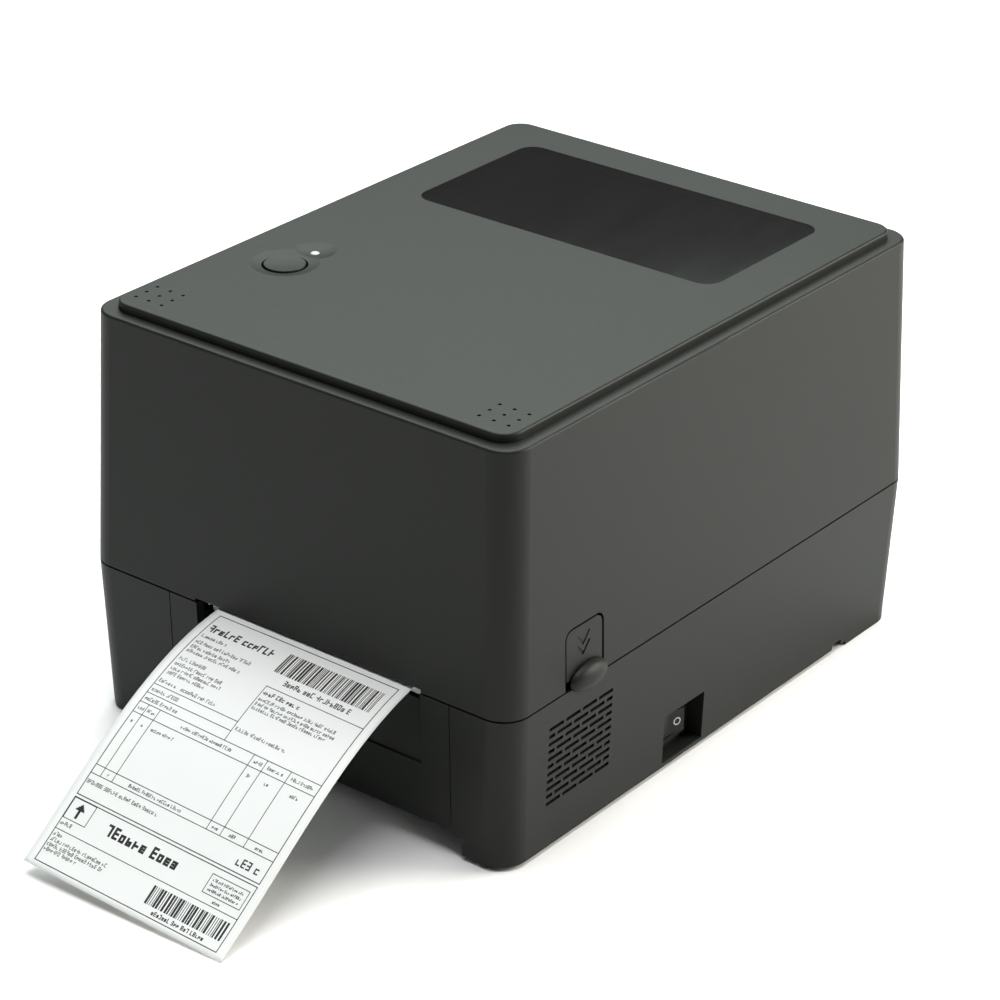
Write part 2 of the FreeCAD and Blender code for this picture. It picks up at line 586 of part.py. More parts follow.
def strip_rise(across, share):
    """A point between the platen and the slot: the paper lifts off the platen and over the tear bar."""
    run = value("platen_back") - value("exit_back")
    low, high = value("web_level"), strip_point(across, 0.0)
    slope = (strip_point(across, 0.5) - high) * 2
    height = (low * (2 * share ** 3 - 3 * share ** 2 + 1) + high.z * (3 * share ** 2 - 2 * share ** 3)
              + slope.z * run * (share ** 3 - share ** 2))
    return Vector(value("media_centre") + across, value("platen_back") - run * share, height)


def paper():
    """The paper from the roll to the platen, and the printed strip from there to its free end."""
    tangent_y, tangent_z = roll_tangent()
    level = value("web_level")
    thick = value("web_thick")
    under = [(value("platen_back"), level), (value("platen_back") + 12, level), (tangent_y, tangent_z)]
    over = [(y, z + thick) for y, z in reversed(under)]
    sub_part("label_web", profile_plate("label_web_body", [(str(y), str(z)) for y, z in under + over],
                                        MEDIA_LOW, MEDIA_HIGH))
    half, length = value("media_width") / 2, value("strip_length")
    grid = []
    for i in range(9):
        across = -half + 2 * half * i / 8
        rise = [strip_rise(across, share / 5) for share in range(5)]
        grid.append(rise + [strip_point(across, length * j / 24) for j in range(25)])
    surface = Part.BSplineSurface()
    surface.interpolate(grid)
    strip = doc.addObject("Part::Feature", "printed_label_body")
    strip.Shape = surface.toShape().extrude(Vector(0, 0, thick))
    strip.Placement = Placement()
    sub_part("printed_label", strip)


# ---------------------------------------------------------------- drive: platen, gears, motor

GEAR_END = "gear_side + gear_wide"


def gear_centres():
    """The platen, idler and motor axes in the YZ plane, from the tooth counts and two angles."""
    module, play = value("gear_module"), value("gear_play")
    platen = (value("platen_back"), value("platen_level"))
    first = module * (value("platen_teeth") + value("idler_teeth")) / 2 + play
    second = module * (value("idler_teeth") + value("motor_teeth")) / 2 + play
    turn_one, turn_two = -math.radians(value("idler_fall")), -math.radians(value("motor_fall"))
    idler = (platen[0] + first * math.cos(turn_one), platen[1] + first * math.sin(turn_one))
    motor = (idler[0] + second * math.cos(turn_two), idler[1] + second * math.sin(turn_two))
    return platen, idler, motor


def drive():
    platen, idler, motor = gear_centres()
    centre = {"y": "platen_back", "z": "platen_level"}
    low, high = "media_centre - platen_half", "media_centre + platen_half"
    shaft_low, shaft_high = "gear_side - 1", "media_centre + platen_half + 8"
    sub_part("platen_roller", ring("platen_roller_body", "platen_radius", "platen_shaft_radius", "x", low,
                                   high, **centre))
    sub_part("platen_shaft", rod("platen_shaft_body", "platen_shaft_radius", "x", shaft_low, shaft_high,
                                 **centre))
    fall = value("idler_fall")
    sub_part("platen_gear", gear("platen_gear_body", "platen_teeth", "platen_shaft_radius", "gear_side",
                                 str(platen[0]), str(platen[1]), phase=-fall))
    sub_part("idler_gear", gear("idler_gear_body", "idler_teeth", "2 + shaft_clearance", "gear_side",
                                str(idler[0]), str(idler[1]), phase=180 - fall + 180 / value("idler_teeth")))
    motor_place = {"y": str(motor[0]), "z": str(motor[1])}
    pinion = gear("motor_pinion_gear", "motor_teeth", "2.4", "gear_side", *motor_place.values(),
                  phase=180 - value("motor_fall"))
    sub_part("motor_pinion", fuse("motor_pinion_body", pinion,
                                  rod("motor_shaft", "2.5", "x", "gear_side - 16", GEAR_END, **motor_place)))
    can_face = "gear_side - 4"
    half = "motor_can / 2"
    can = block("motor_block", (f"{can_face} - motor_long", can_face),
                (f"{motor[0]} - {half}", f"{motor[0]} + {half}"),
                (f"{motor[1]} - {half}", f"{motor[1]} + {half}"))
    eased = round_edges("motor_eased", can, "4", lambda e: e.BoundBox.XLength > 20)
    bore = rod("motor_bore", "2.5 + shaft_clearance", "x", f"{can_face} - 14", f"{can_face} + 1",
               **motor_place)
    sub_part("stepper_motor", cut("stepper_motor_body", eased, bore))
    plate = profile_plate("bracket_plate", [("-112", f"{FLOOR_TOP} + 1.5"), ("-56", f"{FLOOR_TOP} + 1.5"),
                                            ("-56", "63"), ("-96", "63"), ("-112", "56")],
                          can_face, f"{can_face} + 2")
    shaft_hole = rod("bracket_shaft_hole", "11", "x", f"{can_face} - 1", f"{can_face} + 3", **motor_place)
    post = rod("idler_post", "2", "x", can_face, f"{GEAR_END} + 0.6", y=str(idler[0]), z=str(idler[1]))
    sub_part("motor_bracket", fuse("motor_bracket_body", cut("bracket_bored", plate, shaft_hole), post))
    platen_frame()


def platen_frame():
    """Two cheeks on the chassis plate, joined by a beam, with the platen's bushes and the tear bar."""
    centre = {"y": "platen_back", "z": "platen_level"}
    chassis_top = f"{FLOOR_TOP} + 1.5"
    cheek = [("-132", "66.5"), ("-132", "48"), ("-112", chassis_top), ("-98", chassis_top),
             ("-113", "50"), ("-113", "66.5")]
    low, high = "media_centre - platen_half - 3", "media_centre + platen_half + 3"
    sheets = [block("platen_beam", (f"{low} - 10", f"{high} + 1"), ("-123", "-114"), ("42", "45"))]
    for side, (start, end) in {"left": (f"{low} - 12", f"{low} - 9.5"),
                               "right": (high, f"{high} + 2.5")}.items():
        sheets.append(profile_plate(f"cheek_{side}", cheek, start, end))
    holes = rod("bush_holes", "5", "x", f"{low} - 20", f"{high} + 20", **centre)
    sub_part("platen_frame", cut("platen_frame_body", fuse("platen_frame_solid", *sheets), holes))
    bushes = [ring(f"bush_{i}", "5", "platen_shaft_radius + shaft_clearance", "x", start, end, **centre)
              for i, (start, end) in enumerate(((f"{low} - 12.5", f"{low} - 9"),
                                                (f"{high} - 0.5", f"{high} + 3")))]
    sub_part("platen_bushes", group("platen_bushes_body", *bushes))
    bar = profile_plate("tear_bar_strip", [("-138", "68.2"), ("-138", "67.3"), ("-135", "67.3"),
                                           ("-135", "chute_crest"),
                                           ("-133.8", "chute_crest"), ("-133.8", "68.2")],
                        "chute_left + 3", "chute_right - 3")
    notches = []
    for i in range(37):
        notch = block(f"tear_notch_{i}", ("-1.0", "1.0"), ("-1.0", "1.0"), ("-3", "3"))
        notch.Placement = Placement(Vector(0, 0, 0), Rotation(Vector(0, 0, 1), 45))
        put(notch, f"chute_left + 4.6 + {i} * 3", "-138 - 1.41", "66")
        notches.append(notch)
    sub_part("tear_bar", cut("tear_bar_body", bar, *notches))


# ---------------------------------------------------------------- hinge

def hinges():
    """Two knuckle hinges let into the rear walls, each with its own pin."""
    axis = {"y": "hinge_back", "z": "hinge_level"}
    back = ("hinge_back - 1.7", "hinge_back + 0.9")
    base_leaves, cover_leaves, pins = [], [], []
    for i, sign in enumerate((-1, 1)):
        middle = f"{sign} * hinge_side"
        plate = block(f"base_leaf_{i}", (f"{middle} - hinge_wide / 2", f"{middle} + hinge_wide / 2"), back,
                      ("seam_level - 12.6", "seam_level - 3.7"))
        pieces = [plate]
        for j, offset in enumerate((-10.2, 10.2)):
            low, high = f"{middle} + {offset} - knuckle_long / 2", f"{middle} + {offset} + knuckle_long / 2"
            arm = block(f"base_arm_{i}_{j}", (low, high), back, ("seam_level - 3.7", "hinge_level"))
            barrel = rod(f"base_barrel_{i}_{j}", "knuckle_radius", "x", low, high, **axis)
            pieces += [arm, barrel]
        hole = rod(f"base_leaf_hole_{i}", "hinge_pin_radius", "x", f"{middle} - 20", f"{middle} + 20",
                   **axis)
        base_leaves.append(cut(f"base_hinge_{i}", fuse(f"base_hinge_solid_{i}", *pieces), hole))
        low, high = f"{middle} - knuckle_long / 2 + 0.2", f"{middle} + knuckle_long / 2 - 0.2"
        flap = block(f"cover_leaf_{i}", (f"{middle} - hinge_wide / 2", f"{middle} + hinge_wide / 2"),
                     (back[0], "hinge_back + 0.5"), ("seam_level + 4", "seam_level + 12.6"))
        neck = block(f"cover_neck_{i}", (low, high), (back[0], "hinge_back + 0.5"),
                     ("hinge_level", "seam_level + 4"))
        barrel = rod(f"cover_barrel_{i}", "knuckle_radius", "x", low, high, **axis)
        hole = rod(f"cover_leaf_hole_{i}", "hinge_pin_radius + shaft_clearance", "x", f"{middle} - 20",
                   f"{middle} + 20", **axis)
        cover_leaves.append(cut(f"cover_hinge_{i}", fuse(f"cover_hinge_solid_{i}", flap, neck, barrel),
                                hole))
        pins.append(rod(f"hinge_pin_{i}", "hinge_pin_radius", "x", f"{middle} - 15.2", f"{middle} + 15.2",
                        **axis))
    sub_part("hinge_brackets", group("hinge_brackets_body", *base_leaves))
    sub_part("cover_hinge_leaves", group("cover_hinge_leaves_body", *cover_leaves))
    sub_part("hinge_pins", group("hinge_pins_body", *pins))


# ---------------------------------------------------------------- cover

INNER_TOP = "(plateau_top - wall)"


def lens_dish(name, radius, deep, x, y):
    """A ball whose underside presses a shallow round dish into the top panel."""
    ball = doc.addObject("Part::Sphere", name)
    curve = f"(({radius}) * ({radius}) + ({deep}) * ({deep})) / (2 * ({deep}))"
    bind(ball, Radius=curve)
    put(ball, x, y, f"plateau_top - ({deep}) + {curve}")
    return ball


def top_cover():
    outer = rounded_block("cover_outer", "outline_width", "outline_depth", "outline_corner",
                          COVER_FOOT, "rim_top", "cover_slope")
    plateau = rounded_block("plateau", "plateau_width", "plateau_depth", "plateau_corner",
                            "rim_top - 5", "plateau_top")
    rim, top = value("rim_top"), value("plateau_top")
    shell = round_edges("cover_rounded", fuse("cover_solid", outer, plateau), "edge_round",
                        lambda e: all(abs(v.Z - top) < 0.01 for v in e.Vertexes)
                        or (all(abs(v.Z - rim) < 0.01 for v in e.Vertexes)
                            and max(abs(e.BoundBox.XMax),
                                    abs(e.BoundBox.XMin)) > value("plateau_width") / 2 + 3
                            or all(abs(v.Z - rim) < 0.01 for v in e.Vertexes)
                            and max(abs(e.BoundBox.YMax),
                                    abs(e.BoundBox.YMin)) > value("plateau_depth") / 2 + 3))
    cavity = rounded_block("cover_cavity", "outline_width - 2 * wall", "outline_depth - 2 * wall",
                           "outline_corner - wall", f"{COVER_FOOT} - 0.01", "rim_top - wall", "cover_slope")
    lift = rounded_block("plateau_cavity", "plateau_width - 2 * wall", "plateau_depth - 2 * wall",
                         "plateau_corner - wall", "rim_top - wall - 1", INNER_TOP)
    hollow = cut("cover_hollow", shell, cavity, lift)
    return cut("top_cover_body", fuse("cover_with_ribs", hollow, *cover_ribs()), *cover_openings())


def cover_ribs():
    """Screw bosses for the ribbon frame, and the ribs and lug that guide each latch."""
    ribs = [rod(f"cover_boss_{i}", "4", "z", "bridge_top", f"{INNER_TOP} + 1", x, y)
            for i, (x, y) in enumerate(FRAME_SCREWS)]
    for side, sign in (("right", 1), ("left", -1)):
        for tag, y in (("front", ("latch_back - 17.4", "latch_back - 15.4")),
                       ("back", ("latch_back + 15.4", "latch_back + 17.4"))):
            x = (f"{HALF_WIDTH} - 9", f"{HALF_WIDTH} - 3.4")
            ribs.append(block(f"latch_rib_{side}_{tag}", x if sign > 0 else both_sides(*x), y,
                              ("74", "104")))
        x = (f"{HALF_WIDTH} - 9", f"{HALF_WIDTH} - 4.2")
        ribs.append(block(f"latch_lug_{side}", x if sign > 0 else both_sides(*x),
                          ("latch_back - 4", "latch_back + 4"), ("latch_top + 12.5", "latch_top + 15")))
    return ribs


FRAME_SCREWS = [("-50", "-112"), ("72", "-112"), ("-50", "4"), ("72", "4")]


def cover_openings():
    window = rounded_block("window_rebate", "window_width", "window_depth", "window_corner",
                           "plateau_top - window_thick", "plateau_top + 1")
    put(window, y="window_back", z="plateau_top - window_thick")
    sight = rounded_block("window_sight", "window_width - 2 * window_ledge",
                          "window_depth - 2 * window_ledge",
                          "window_corner - window_ledge", "plateau_top - 9", "plateau_top + 1")
    put(sight, y="window_back", z="plateau_top - 9")
    cuts = [window, sight,
            lens_dish("feed_dish", "dish_radius", "dish_deep", "feed_side", "feed_back"),
            lens_dish("lamp_dish", "lamp_dish_radius", "dish_deep * 0.7", "lamp_side", "lamp_back"),
            rod("feed_hole", "feed_radius + feed_gap", "z", "rim_top - 9", OUT, "feed_side", "feed_back"),
            rod("lamp_hole", "lamp_radius", "z", "rim_top - 9", OUT, "lamp_side", "lamp_back")]
    for sign in (-1, 1):
        for i in range(3):
            for j in range(3):
                cuts.append(rod(f"dot_{sign + 1}_{i}_{j}", "dot_radius", "z", "plateau_top - dot_deep", OUT,
                                f"{sign} * dot_side + {i - 1} * dot_pitch_side",
                                f"dot_back + {j - 1} * dot_pitch_back"))
    cuts.append(block("label_slot", ("chute_left", "chute_right"), ("-" + OUT, f"-{HALF_DEPTH} + 9"),
                      ("0", "slot_top")))
    for side, sign in (("right", 1), ("left", -1)):
        x = (f"{HALF_WIDTH} - 9", OUT)
        notch = block(f"latch_notch_{side}", x if sign > 0 else both_sides(*x),
                      ("latch_back - latch_wide / 2", "latch_back + latch_wide / 2"), ("0", "latch_top"))
        cuts.append(round_edges(f"latch_notch_{side}_rounded", notch, "4.5",
                                lambda e: e.BoundBox.XLength > 20 and e.BoundBox.ZMin > 50))
    return cuts + hinge_notches("cover", "seam_level", "seam_level + 13")


def latch(side):
    """A spring-held slider: a flush tab with a thumb lobe outside, a back plate and hook inside."""
    low, high = "latch_back - latch_wide / 2 + latch_gap", "latch_back + latch_wide / 2 - latch_gap"
    foot = "seam_level + latch_travel"
    outer = rounded_block(f"latch_skin_{side}", "outline_width - 0.4", "outline_depth", "outline_corner",
                          COVER_FOOT, "rim_top", "cover_slope")
    tab_block = block(f"latch_tab_block_{side}", (f"{HALF_WIDTH} - 4.4", OUT), (low, high),
                      (foot, "latch_top - latch_gap"))
    tab = common(f"latch_tab_{side}", outer, round_edges(f"latch_tab_rounded_{side}", tab_block, "3.8",
                 lambda e: e.BoundBox.XLength > 20 and e.BoundBox.ZMin > 80))
    plate = block(f"latch_plate_{side}", (f"{HALF_WIDTH} - 7.5", f"{HALF_WIDTH} - 4.4"),
                  ("latch_back - 15", "latch_back + 15"), ("76", "latch_top + 4.5"))
    hook = block(f"latch_hook_{side}", (f"{HALF_WIDTH} - 7.5", f"{HALF_WIDTH} - 4.4"),
                 ("latch_back - 5", "latch_back + 5"), ("58", "76"))
    nose = block(f"latch_nose_{side}", (f"{HALF_WIDTH} - 7.5", f"{HALF_WIDTH} - 4.4"),
                 ("latch_back + 5", "latch_back + 8"), ("58", "61.5"))
    lobe = doc.addObject("Part::Ellipsoid", f"latch_lobe_{side}")
    bind(lobe, Radius1="lobe_tall / 2", Radius2="lobe_deep", Radius3="lobe_wide / 2")
    put(lobe, f"{HALF_WIDTH} + 0.3", "latch_back + 1.5", "lobe_level")
    inside = block(f"latch_lobe_back_{side}", (f"{HALF_WIDTH} - 20", f"{HALF_WIDTH} + 0.4"), ("-200", "0"),
                   ("0", "200"))
    root = block(f"latch_lobe_root_{side}", (f"{HALF_WIDTH} - 3", f"{HALF_WIDTH} + 1.2"),
                 ("latch_back - 7", "latch_back + 9"), (foot, f"{foot} + 2.2"))
    body = fuse(f"latch_{side}_solid", tab, plate, hook, nose, cut(f"latch_bulge_{side}", lobe, inside),
                root)
    marks = []
    for i in range(2):
        for turn in (-1, 1):
            mark = block(f"latch_mark_{side}_{i}_{turn + 1}", ("0", "9"), ("-0.55", "5.2"),
                         ("-0.55", "0.55"))
            mark.Placement = Placement(Vector(), Rotation(Vector(1, 0, 0), 90 - 42 * turn))
            put(mark, f"{HALF_WIDTH} - 0.7 - tan({value('cover_slope')}) * 15", "latch_back",
                f"seam_level + 17 - {i} * 4.3")
            marks.append(mark)
    return cut(f"latch_{side}_body", body, *marks)


def latches():
    sub_part("latch_right", latch("right"))
    sub_part("latch_left", mirror("latch_left_body", latch("left")))
    for sign in (-1, 1):
        sub_part("latch_spring_right" if sign > 0 else "latch_spring_left",
                 ring(f"latch_spring_{sign + 1}", "2.4", "1.7", "z", "latch_top + 4.7", "latch_top + 12.3",
                      x=f"{sign} * (outline_width / 2 - 7.2)", y="latch_back"))


def top_panel_parts():
    window = rounded_block("window_sheet", "window_width - 0.3", "window_depth - 0.3",
                           "window_corner - 0.15",
                           "plateau_top - window_thick", "plateau_top - 0.05")
    put(window, y="window_back", z="plateau_top - window_thick")
    sub_part("cover_window", window)
    cap = rod("feed_cap", "feed_radius", "z", "plateau_top - 5.5", "plateau_top - feed_drop", "feed_side",
              "feed_back")
    flange = rod("feed_flange", "feed_radius + 2.2", "z", "plateau_top - 5.5", "plateau_top - 3.9",
                 "feed_side", "feed_back")
    stem = rod("feed_stem", "3", "z", "plateau_top - 7.2", "plateau_top - 5.5", "feed_side", "feed_back")
    hollow = lens_dish("feed_cap_dish", "feed_radius + 1", "0.6", "feed_side", "feed_back")
    put(hollow, "feed_side", "feed_back",
        "plateau_top - feed_drop - 0.6 + ((feed_radius + 1) * (feed_radius + 1) + 0.36) / 1.2")
    eased = round_edges("feed_cap_eased", cap, "0.5",
                        lambda e: abs(e.BoundBox.ZMin - value("plateau_top - feed_drop")) < 0.01
                        and e.BoundBox.XLength > 5)
    sub_part("feed_button", cut("feed_button_body", fuse("feed_button_solid", eased, flange, stem), hollow))
    sub_part("feed_spring", ring("feed_spring_body", "5.2", "4.5", "z", "plateau_top - 10.2",
                                 "plateau_top - 5.7",
                                 x="feed_side", y="feed_back"))
    lens = rod("lamp_rod", "lamp_radius", "z", "plateau_top - 8", "plateau_top - 0.9", "lamp_side",
               "lamp_back")
    sub_part("status_lens", round_edges("status_lens_body", lens, "0.6",
                                        lambda e: abs(e.BoundBox.ZMin - value("plateau_top - 0.9")) < 0.01
                                        and e.BoundBox.XLength > 2))
    board = block("button_board_sheet", ("-93", "-64"), ("-78", "-32"),
                  ("plateau_top - 12", "plateau_top - 10.4"))
    switch = block("button_switch", ("feed_side - 3", "feed_side + 3"), ("feed_back - 3", "feed_back + 3"),
                   ("plateau_top - 10.4", "plateau_top - 8.6"))
    lamp = rod("button_lamp", "1.6", "z", "plateau_top - 10.4", "plateau_top - 8.2", "lamp_side",
               "lamp_back")
    posts = [rod(f"button_post_{i}", "1.8", "z", "plateau_top - 10.4", INNER_TOP, "-90", str(y)) for i,
             y in enumerate((-74, -36))]
    sub_part("button_board", fuse("button_board_body", board, switch, lamp, *posts))


# ---------------------------------------------------------------- ribbon frame and print head

def ribbon_frame():
    """Two side plates hung from a bridge under the cover, which carry the ribbon and the head."""
    supply = {"y": "supply_back", "z": "supply_level"}
    takeup = {"y": "takeup_back", "z": "takeup_level"}
    pivot = {"y": "head_pivot_back", "z": "head_pivot_level"}
    motor_y, motor_z = ribbon_motor_centre()
    outline = [("-122", "78"), ("-84", "78"), ("-60", "104"), ("-20", "108"), ("6", "120"),
               ("6", "bridge_top - 2"),
               ("-122", "bridge_top - 2")]
    for side, start in (("left", "plate_left"), ("right", "plate_right")):
        span = (f"{start} - 1", f"{start} + plate_thick + 1")
        plate = profile_plate(f"ribbon_plate_{side}_sheet", outline, start, f"{start} + plate_thick")
        holes = [rod(f"ribbon_plate_{side}_supply", "journal_radius + shaft_clearance", "x", *span,
                     **supply),
                 rod(f"ribbon_plate_{side}_takeup", "journal_radius + shaft_clearance", "x", *span,
                     **takeup),
                 rod(f"ribbon_plate_{side}_pivot", "2.5 + shaft_clearance", "x", *span, **pivot)]
        if side == "left":
            holes.append(rod("ribbon_plate_motor_hole", "4.5", "x", *span, y=motor_y, z=motor_z))
        sub_part(f"ribbon_plate_{side}", cut(f"ribbon_plate_{side}_body", plate, *holes))
    bridge = block("bridge_sheet", ("plate_left", "plate_right + plate_thick"), ("-122", "6"),
                   ("bridge_top - 2", "bridge_top"))
    opening = block("bridge_opening", ("plate_left + 22", "plate_right - 22"), ("-100", "-16"), ("0", OUT))
    sub_part("ribbon_bridge", cut("ribbon_bridge_body", bridge, opening))
    sub_part("head_crossbar", block("head_crossbar_body", ("plate_left + plate_thick", "plate_right"),
                                    ("-122", "-112"), ("94", "97")))
    screws = [rod(f"frame_screw_{i}", "2.8", "z", "bridge_top - 4", "bridge_top - 2", x, y)
              for i, (x, y) in enumerate(FRAME_SCREWS)]
    sub_part("frame_screws", group("frame_screws_body", *screws))
    for name, place, radius in (("supply", supply, "supply_radius"), ("takeup", takeup, "takeup_radius")):
        low, high = "media_centre - ribbon_half", "media_centre + ribbon_half"
        core = rod(f"{name}_spindle_core", "spindle_radius", "x", f"{low} - 2", f"{high} + 2", **place)
        end = "plate_left - 8.2" if name == "takeup" else "plate_left - 2"
        journal = rod(f"{name}_journal", "journal_radius", "x", end, "plate_right + plate_thick + 2",
                      **place)
        sub_part(f"ribbon_{name}_spindle", fuse(f"ribbon_{name}_spindle_body", core, journal))
        sub_part(f"ribbon_{name}_roll", ring(f"ribbon_{name}_roll_body", radius, "spindle_radius", "x", low,
                                             high, **place))
    sub_part("takeup_gear", gear("takeup_gear_body", "takeup_teeth", "journal_radius", "plate_left - 7.5",
                                 "takeup_back", "takeup_level", phase=30))
    pinion = gear("ribbon_pinion_gear", "ribbon_motor_teeth", "1.4", "plate_left - 7.5",
                  motor_y, motor_z, phase=210 + 180 / value("ribbon_motor_teeth"))
    shaft = rod("ribbon_motor_shaft", "1.5", "x", "plate_left - 7.5", "plate_left + 10", y=motor_y,
                z=motor_z)
    sub_part("ribbon_pinion", fuse("ribbon_pinion_body", pinion, shaft))
    can = rod("ribbon_motor_can", "11.5", "x", "plate_left + plate_thick", "plate_left + plate_thick + 15",
              y=motor_y, z=motor_z)
    bore = rod("ribbon_motor_bore", "1.5 + shaft_clearance", "x", "plate_left", "plate_left + 11", y=motor_y,
               z=motor_z)
    sub_part("ribbon_motor", cut("ribbon_motor_body", can, bore))


def ribbon_motor_centre():
    """The ribbon motor's axis, 30 degrees above the take-up spindle towards the rear."""
    teeth = value("takeup_teeth") + value("ribbon_motor_teeth")
    reach = value("gear_module") * teeth / 2 + value("gear_play")
    return (str(value("takeup_back") + reach * math.cos(math.radians(30))),
            str(value("takeup_level") + reach * math.sin(math.radians(30))))


def print_head():
    """The thermal head under its bracket, which pivots at its rear and is pressed down by two springs."""
    pivot = {"y": "head_pivot_back", "z": "head_pivot_level"}
    low, high = "media_centre - head_half", "media_centre + head_half"
    front = "platen_back - 2.5"
    sub_part("thermal_head", block("thermal_head_body", (low, high), (front, "platen_back + 12"),
                                   ("head_bottom", "head_bottom + 1.6")))
    sink = block("sink_block", (low, high), (front, "platen_back + 14"),
                 ("head_bottom + 1.6", "head_pivot_level - 4"))
    fins = [block(f"sink_slot_{i}", (f"{low} + 4 + {i} * 7.2", f"{low} + 7.4 + {i} * 7.2"), ("-" + OUT, "0"),
                  ("head_bottom + 5.4", "head_pivot_level - 6")) for i in range(15)]
    sub_part("head_heatsink", cut("head_heatsink_body", sink, *fins))
    top = block("head_bracket_top", ("plate_left + 4", "plate_right - 2"), (front, "head_pivot_back + 4"),
                ("head_pivot_level - 4", "head_pivot_level - 2.8"))
    ears = [block(f"head_ear_{i}", x, ("head_pivot_back - 5", "head_pivot_back + 4"),
                  ("head_pivot_level - 4", "head_pivot_level + 4.5"))
            for i, x in enumerate((("plate_left + 4", "plate_left + 6"),
                                   ("plate_right - 4", "plate_right - 2")))]
    axle = rod("head_axle", "2.5", "x", "plate_left - 1.5", "plate_right + plate_thick + 1.5", **pivot)
    sub_part("head_bracket", fuse("head_bracket_body", top, *ears, axle))
    springs = [ring(f"head_spring_{i}", "4.2", "3.4", "z", "head_pivot_level - 2.3", "93.8",
                    x=f"media_centre + {sign} * 37", y="-117") for i, sign in enumerate((-1, 1))]
    sub_part("head_springs", group("head_springs_body", *springs))


# ---------------------------------------------------------------- build, check, write

def main():
    base_parts()
    media_roll()
    media_guides()
    paper()
    drive()
    hinges()
    sub_part("top_cover", top_cover())
    latches()
    top_panel_parts()
    ribbon_frame()
    print_head()
    doc.recompute()
    broken = [thing.Name for thing in doc.Objects if {"Invalid", "Error"} & set(thing.State)]
    broken += [thing.Label for thing in SUB_PARTS if thing.Shape.isNull() or not thing.Shape.isValid()]
    if broken:
        raise RuntimeError("not built: " + ", ".join(broken))
    os.makedirs("parts", exist_ok=True)
    for thing in SUB_PARTS:
        thing.Shape.exportStep(f"parts/{thing.Label}.step")
        solids, volume = len(thing.Shape.Solids), thing.Shape.Volume / 1000
        print(f"{thing.Label:22s} solids {solids}  volume {volume:9.3f} cm3")


main()
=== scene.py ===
"""Thermal label printer: finishes, fine pieces, printed label, light and camera."""
import logging
import math
import random
from dataclasses import dataclass, field
from enum import Enum
from functools import cached_property
from typing import Iterable, Sequence, Union

import bmesh
import bpy
from mathutils import Matrix, Vector
from mathutils.bvhtree import BVHTree


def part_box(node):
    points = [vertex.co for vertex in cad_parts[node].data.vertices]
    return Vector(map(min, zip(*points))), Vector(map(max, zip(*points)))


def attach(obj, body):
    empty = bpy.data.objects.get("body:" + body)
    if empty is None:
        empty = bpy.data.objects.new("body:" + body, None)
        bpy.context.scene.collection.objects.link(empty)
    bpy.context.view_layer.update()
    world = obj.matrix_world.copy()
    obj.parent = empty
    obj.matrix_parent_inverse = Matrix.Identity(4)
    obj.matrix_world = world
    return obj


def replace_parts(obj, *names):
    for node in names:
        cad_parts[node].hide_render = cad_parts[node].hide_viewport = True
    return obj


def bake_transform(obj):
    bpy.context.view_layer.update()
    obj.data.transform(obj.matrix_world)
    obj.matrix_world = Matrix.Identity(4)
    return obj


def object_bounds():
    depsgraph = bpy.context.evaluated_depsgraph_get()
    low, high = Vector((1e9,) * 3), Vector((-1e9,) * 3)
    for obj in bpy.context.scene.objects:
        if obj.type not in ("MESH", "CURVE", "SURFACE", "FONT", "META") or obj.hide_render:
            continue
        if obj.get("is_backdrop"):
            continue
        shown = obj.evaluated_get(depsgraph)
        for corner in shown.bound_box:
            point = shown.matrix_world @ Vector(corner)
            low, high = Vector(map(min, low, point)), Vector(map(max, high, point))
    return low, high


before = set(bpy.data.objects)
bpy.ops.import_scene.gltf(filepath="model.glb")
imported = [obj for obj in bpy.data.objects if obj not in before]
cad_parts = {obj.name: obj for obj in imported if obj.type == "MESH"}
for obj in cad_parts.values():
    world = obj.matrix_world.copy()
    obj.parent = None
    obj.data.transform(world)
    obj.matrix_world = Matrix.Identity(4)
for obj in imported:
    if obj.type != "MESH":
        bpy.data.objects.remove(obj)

MM = 0.001
log = logging.getLogger("label_printer")

Colour = tuple[float, float, float]
Span = tuple[float, float]


# ---------------------------------------------------------------- shader maths


class Expression:
    """A shader value that ordinary arithmetic combines with numbers and with other values."""

    def __init__(self, shader: "ShaderTree", socket: bpy.types.NodeSocket) -> None:
        """Wrap one output socket of the shader."""
        self.shader = shader
        self.socket = socket

    def math(self, operation: str, *values: "Value") -> "Expression":
        """Join values through a Math node.

        Args:
            operation: The Math node's operation.
            values: The node's inputs, in order.

        Returns:
            The node's result.
        """
        inputs = dict(enumerate(values))
        node = self.shader.node("ShaderNodeMath", {"operation": operation}, inputs)
        return Expression(self.shader, node.outputs[0])

    def __add__(self, other: "Value") -> "Expression":
        """self + other."""
        return self.math("ADD", self, other)

    def __sub__(self, other: "Value") -> "Expression":
        """self - other."""
        return self.math("SUBTRACT", self, other)

    def __rsub__(self, other: "Value") -> "Expression":
        """other - self."""
        return self.math("SUBTRACT", other, self)

    def __mul__(self, other: "Value") -> "Expression":
        """self * other."""
        return self.math("MULTIPLY", self, other)

    def __gt__(self, other: "Value") -> "Expression":
        """1 where self is above other, else 0."""
        return self.math("GREATER_THAN", self, other)

    __radd__ = __add__
    __rmul__ = __mul__

    def sine(self) -> "Expression":
        """The sine of the value."""
        return self.math("SINE", self)

    def fraction(self) -> "Expression":
        """The part of the value after its whole number."""
        return self.math("FRACT", self)


Value = Union[Expression, float]


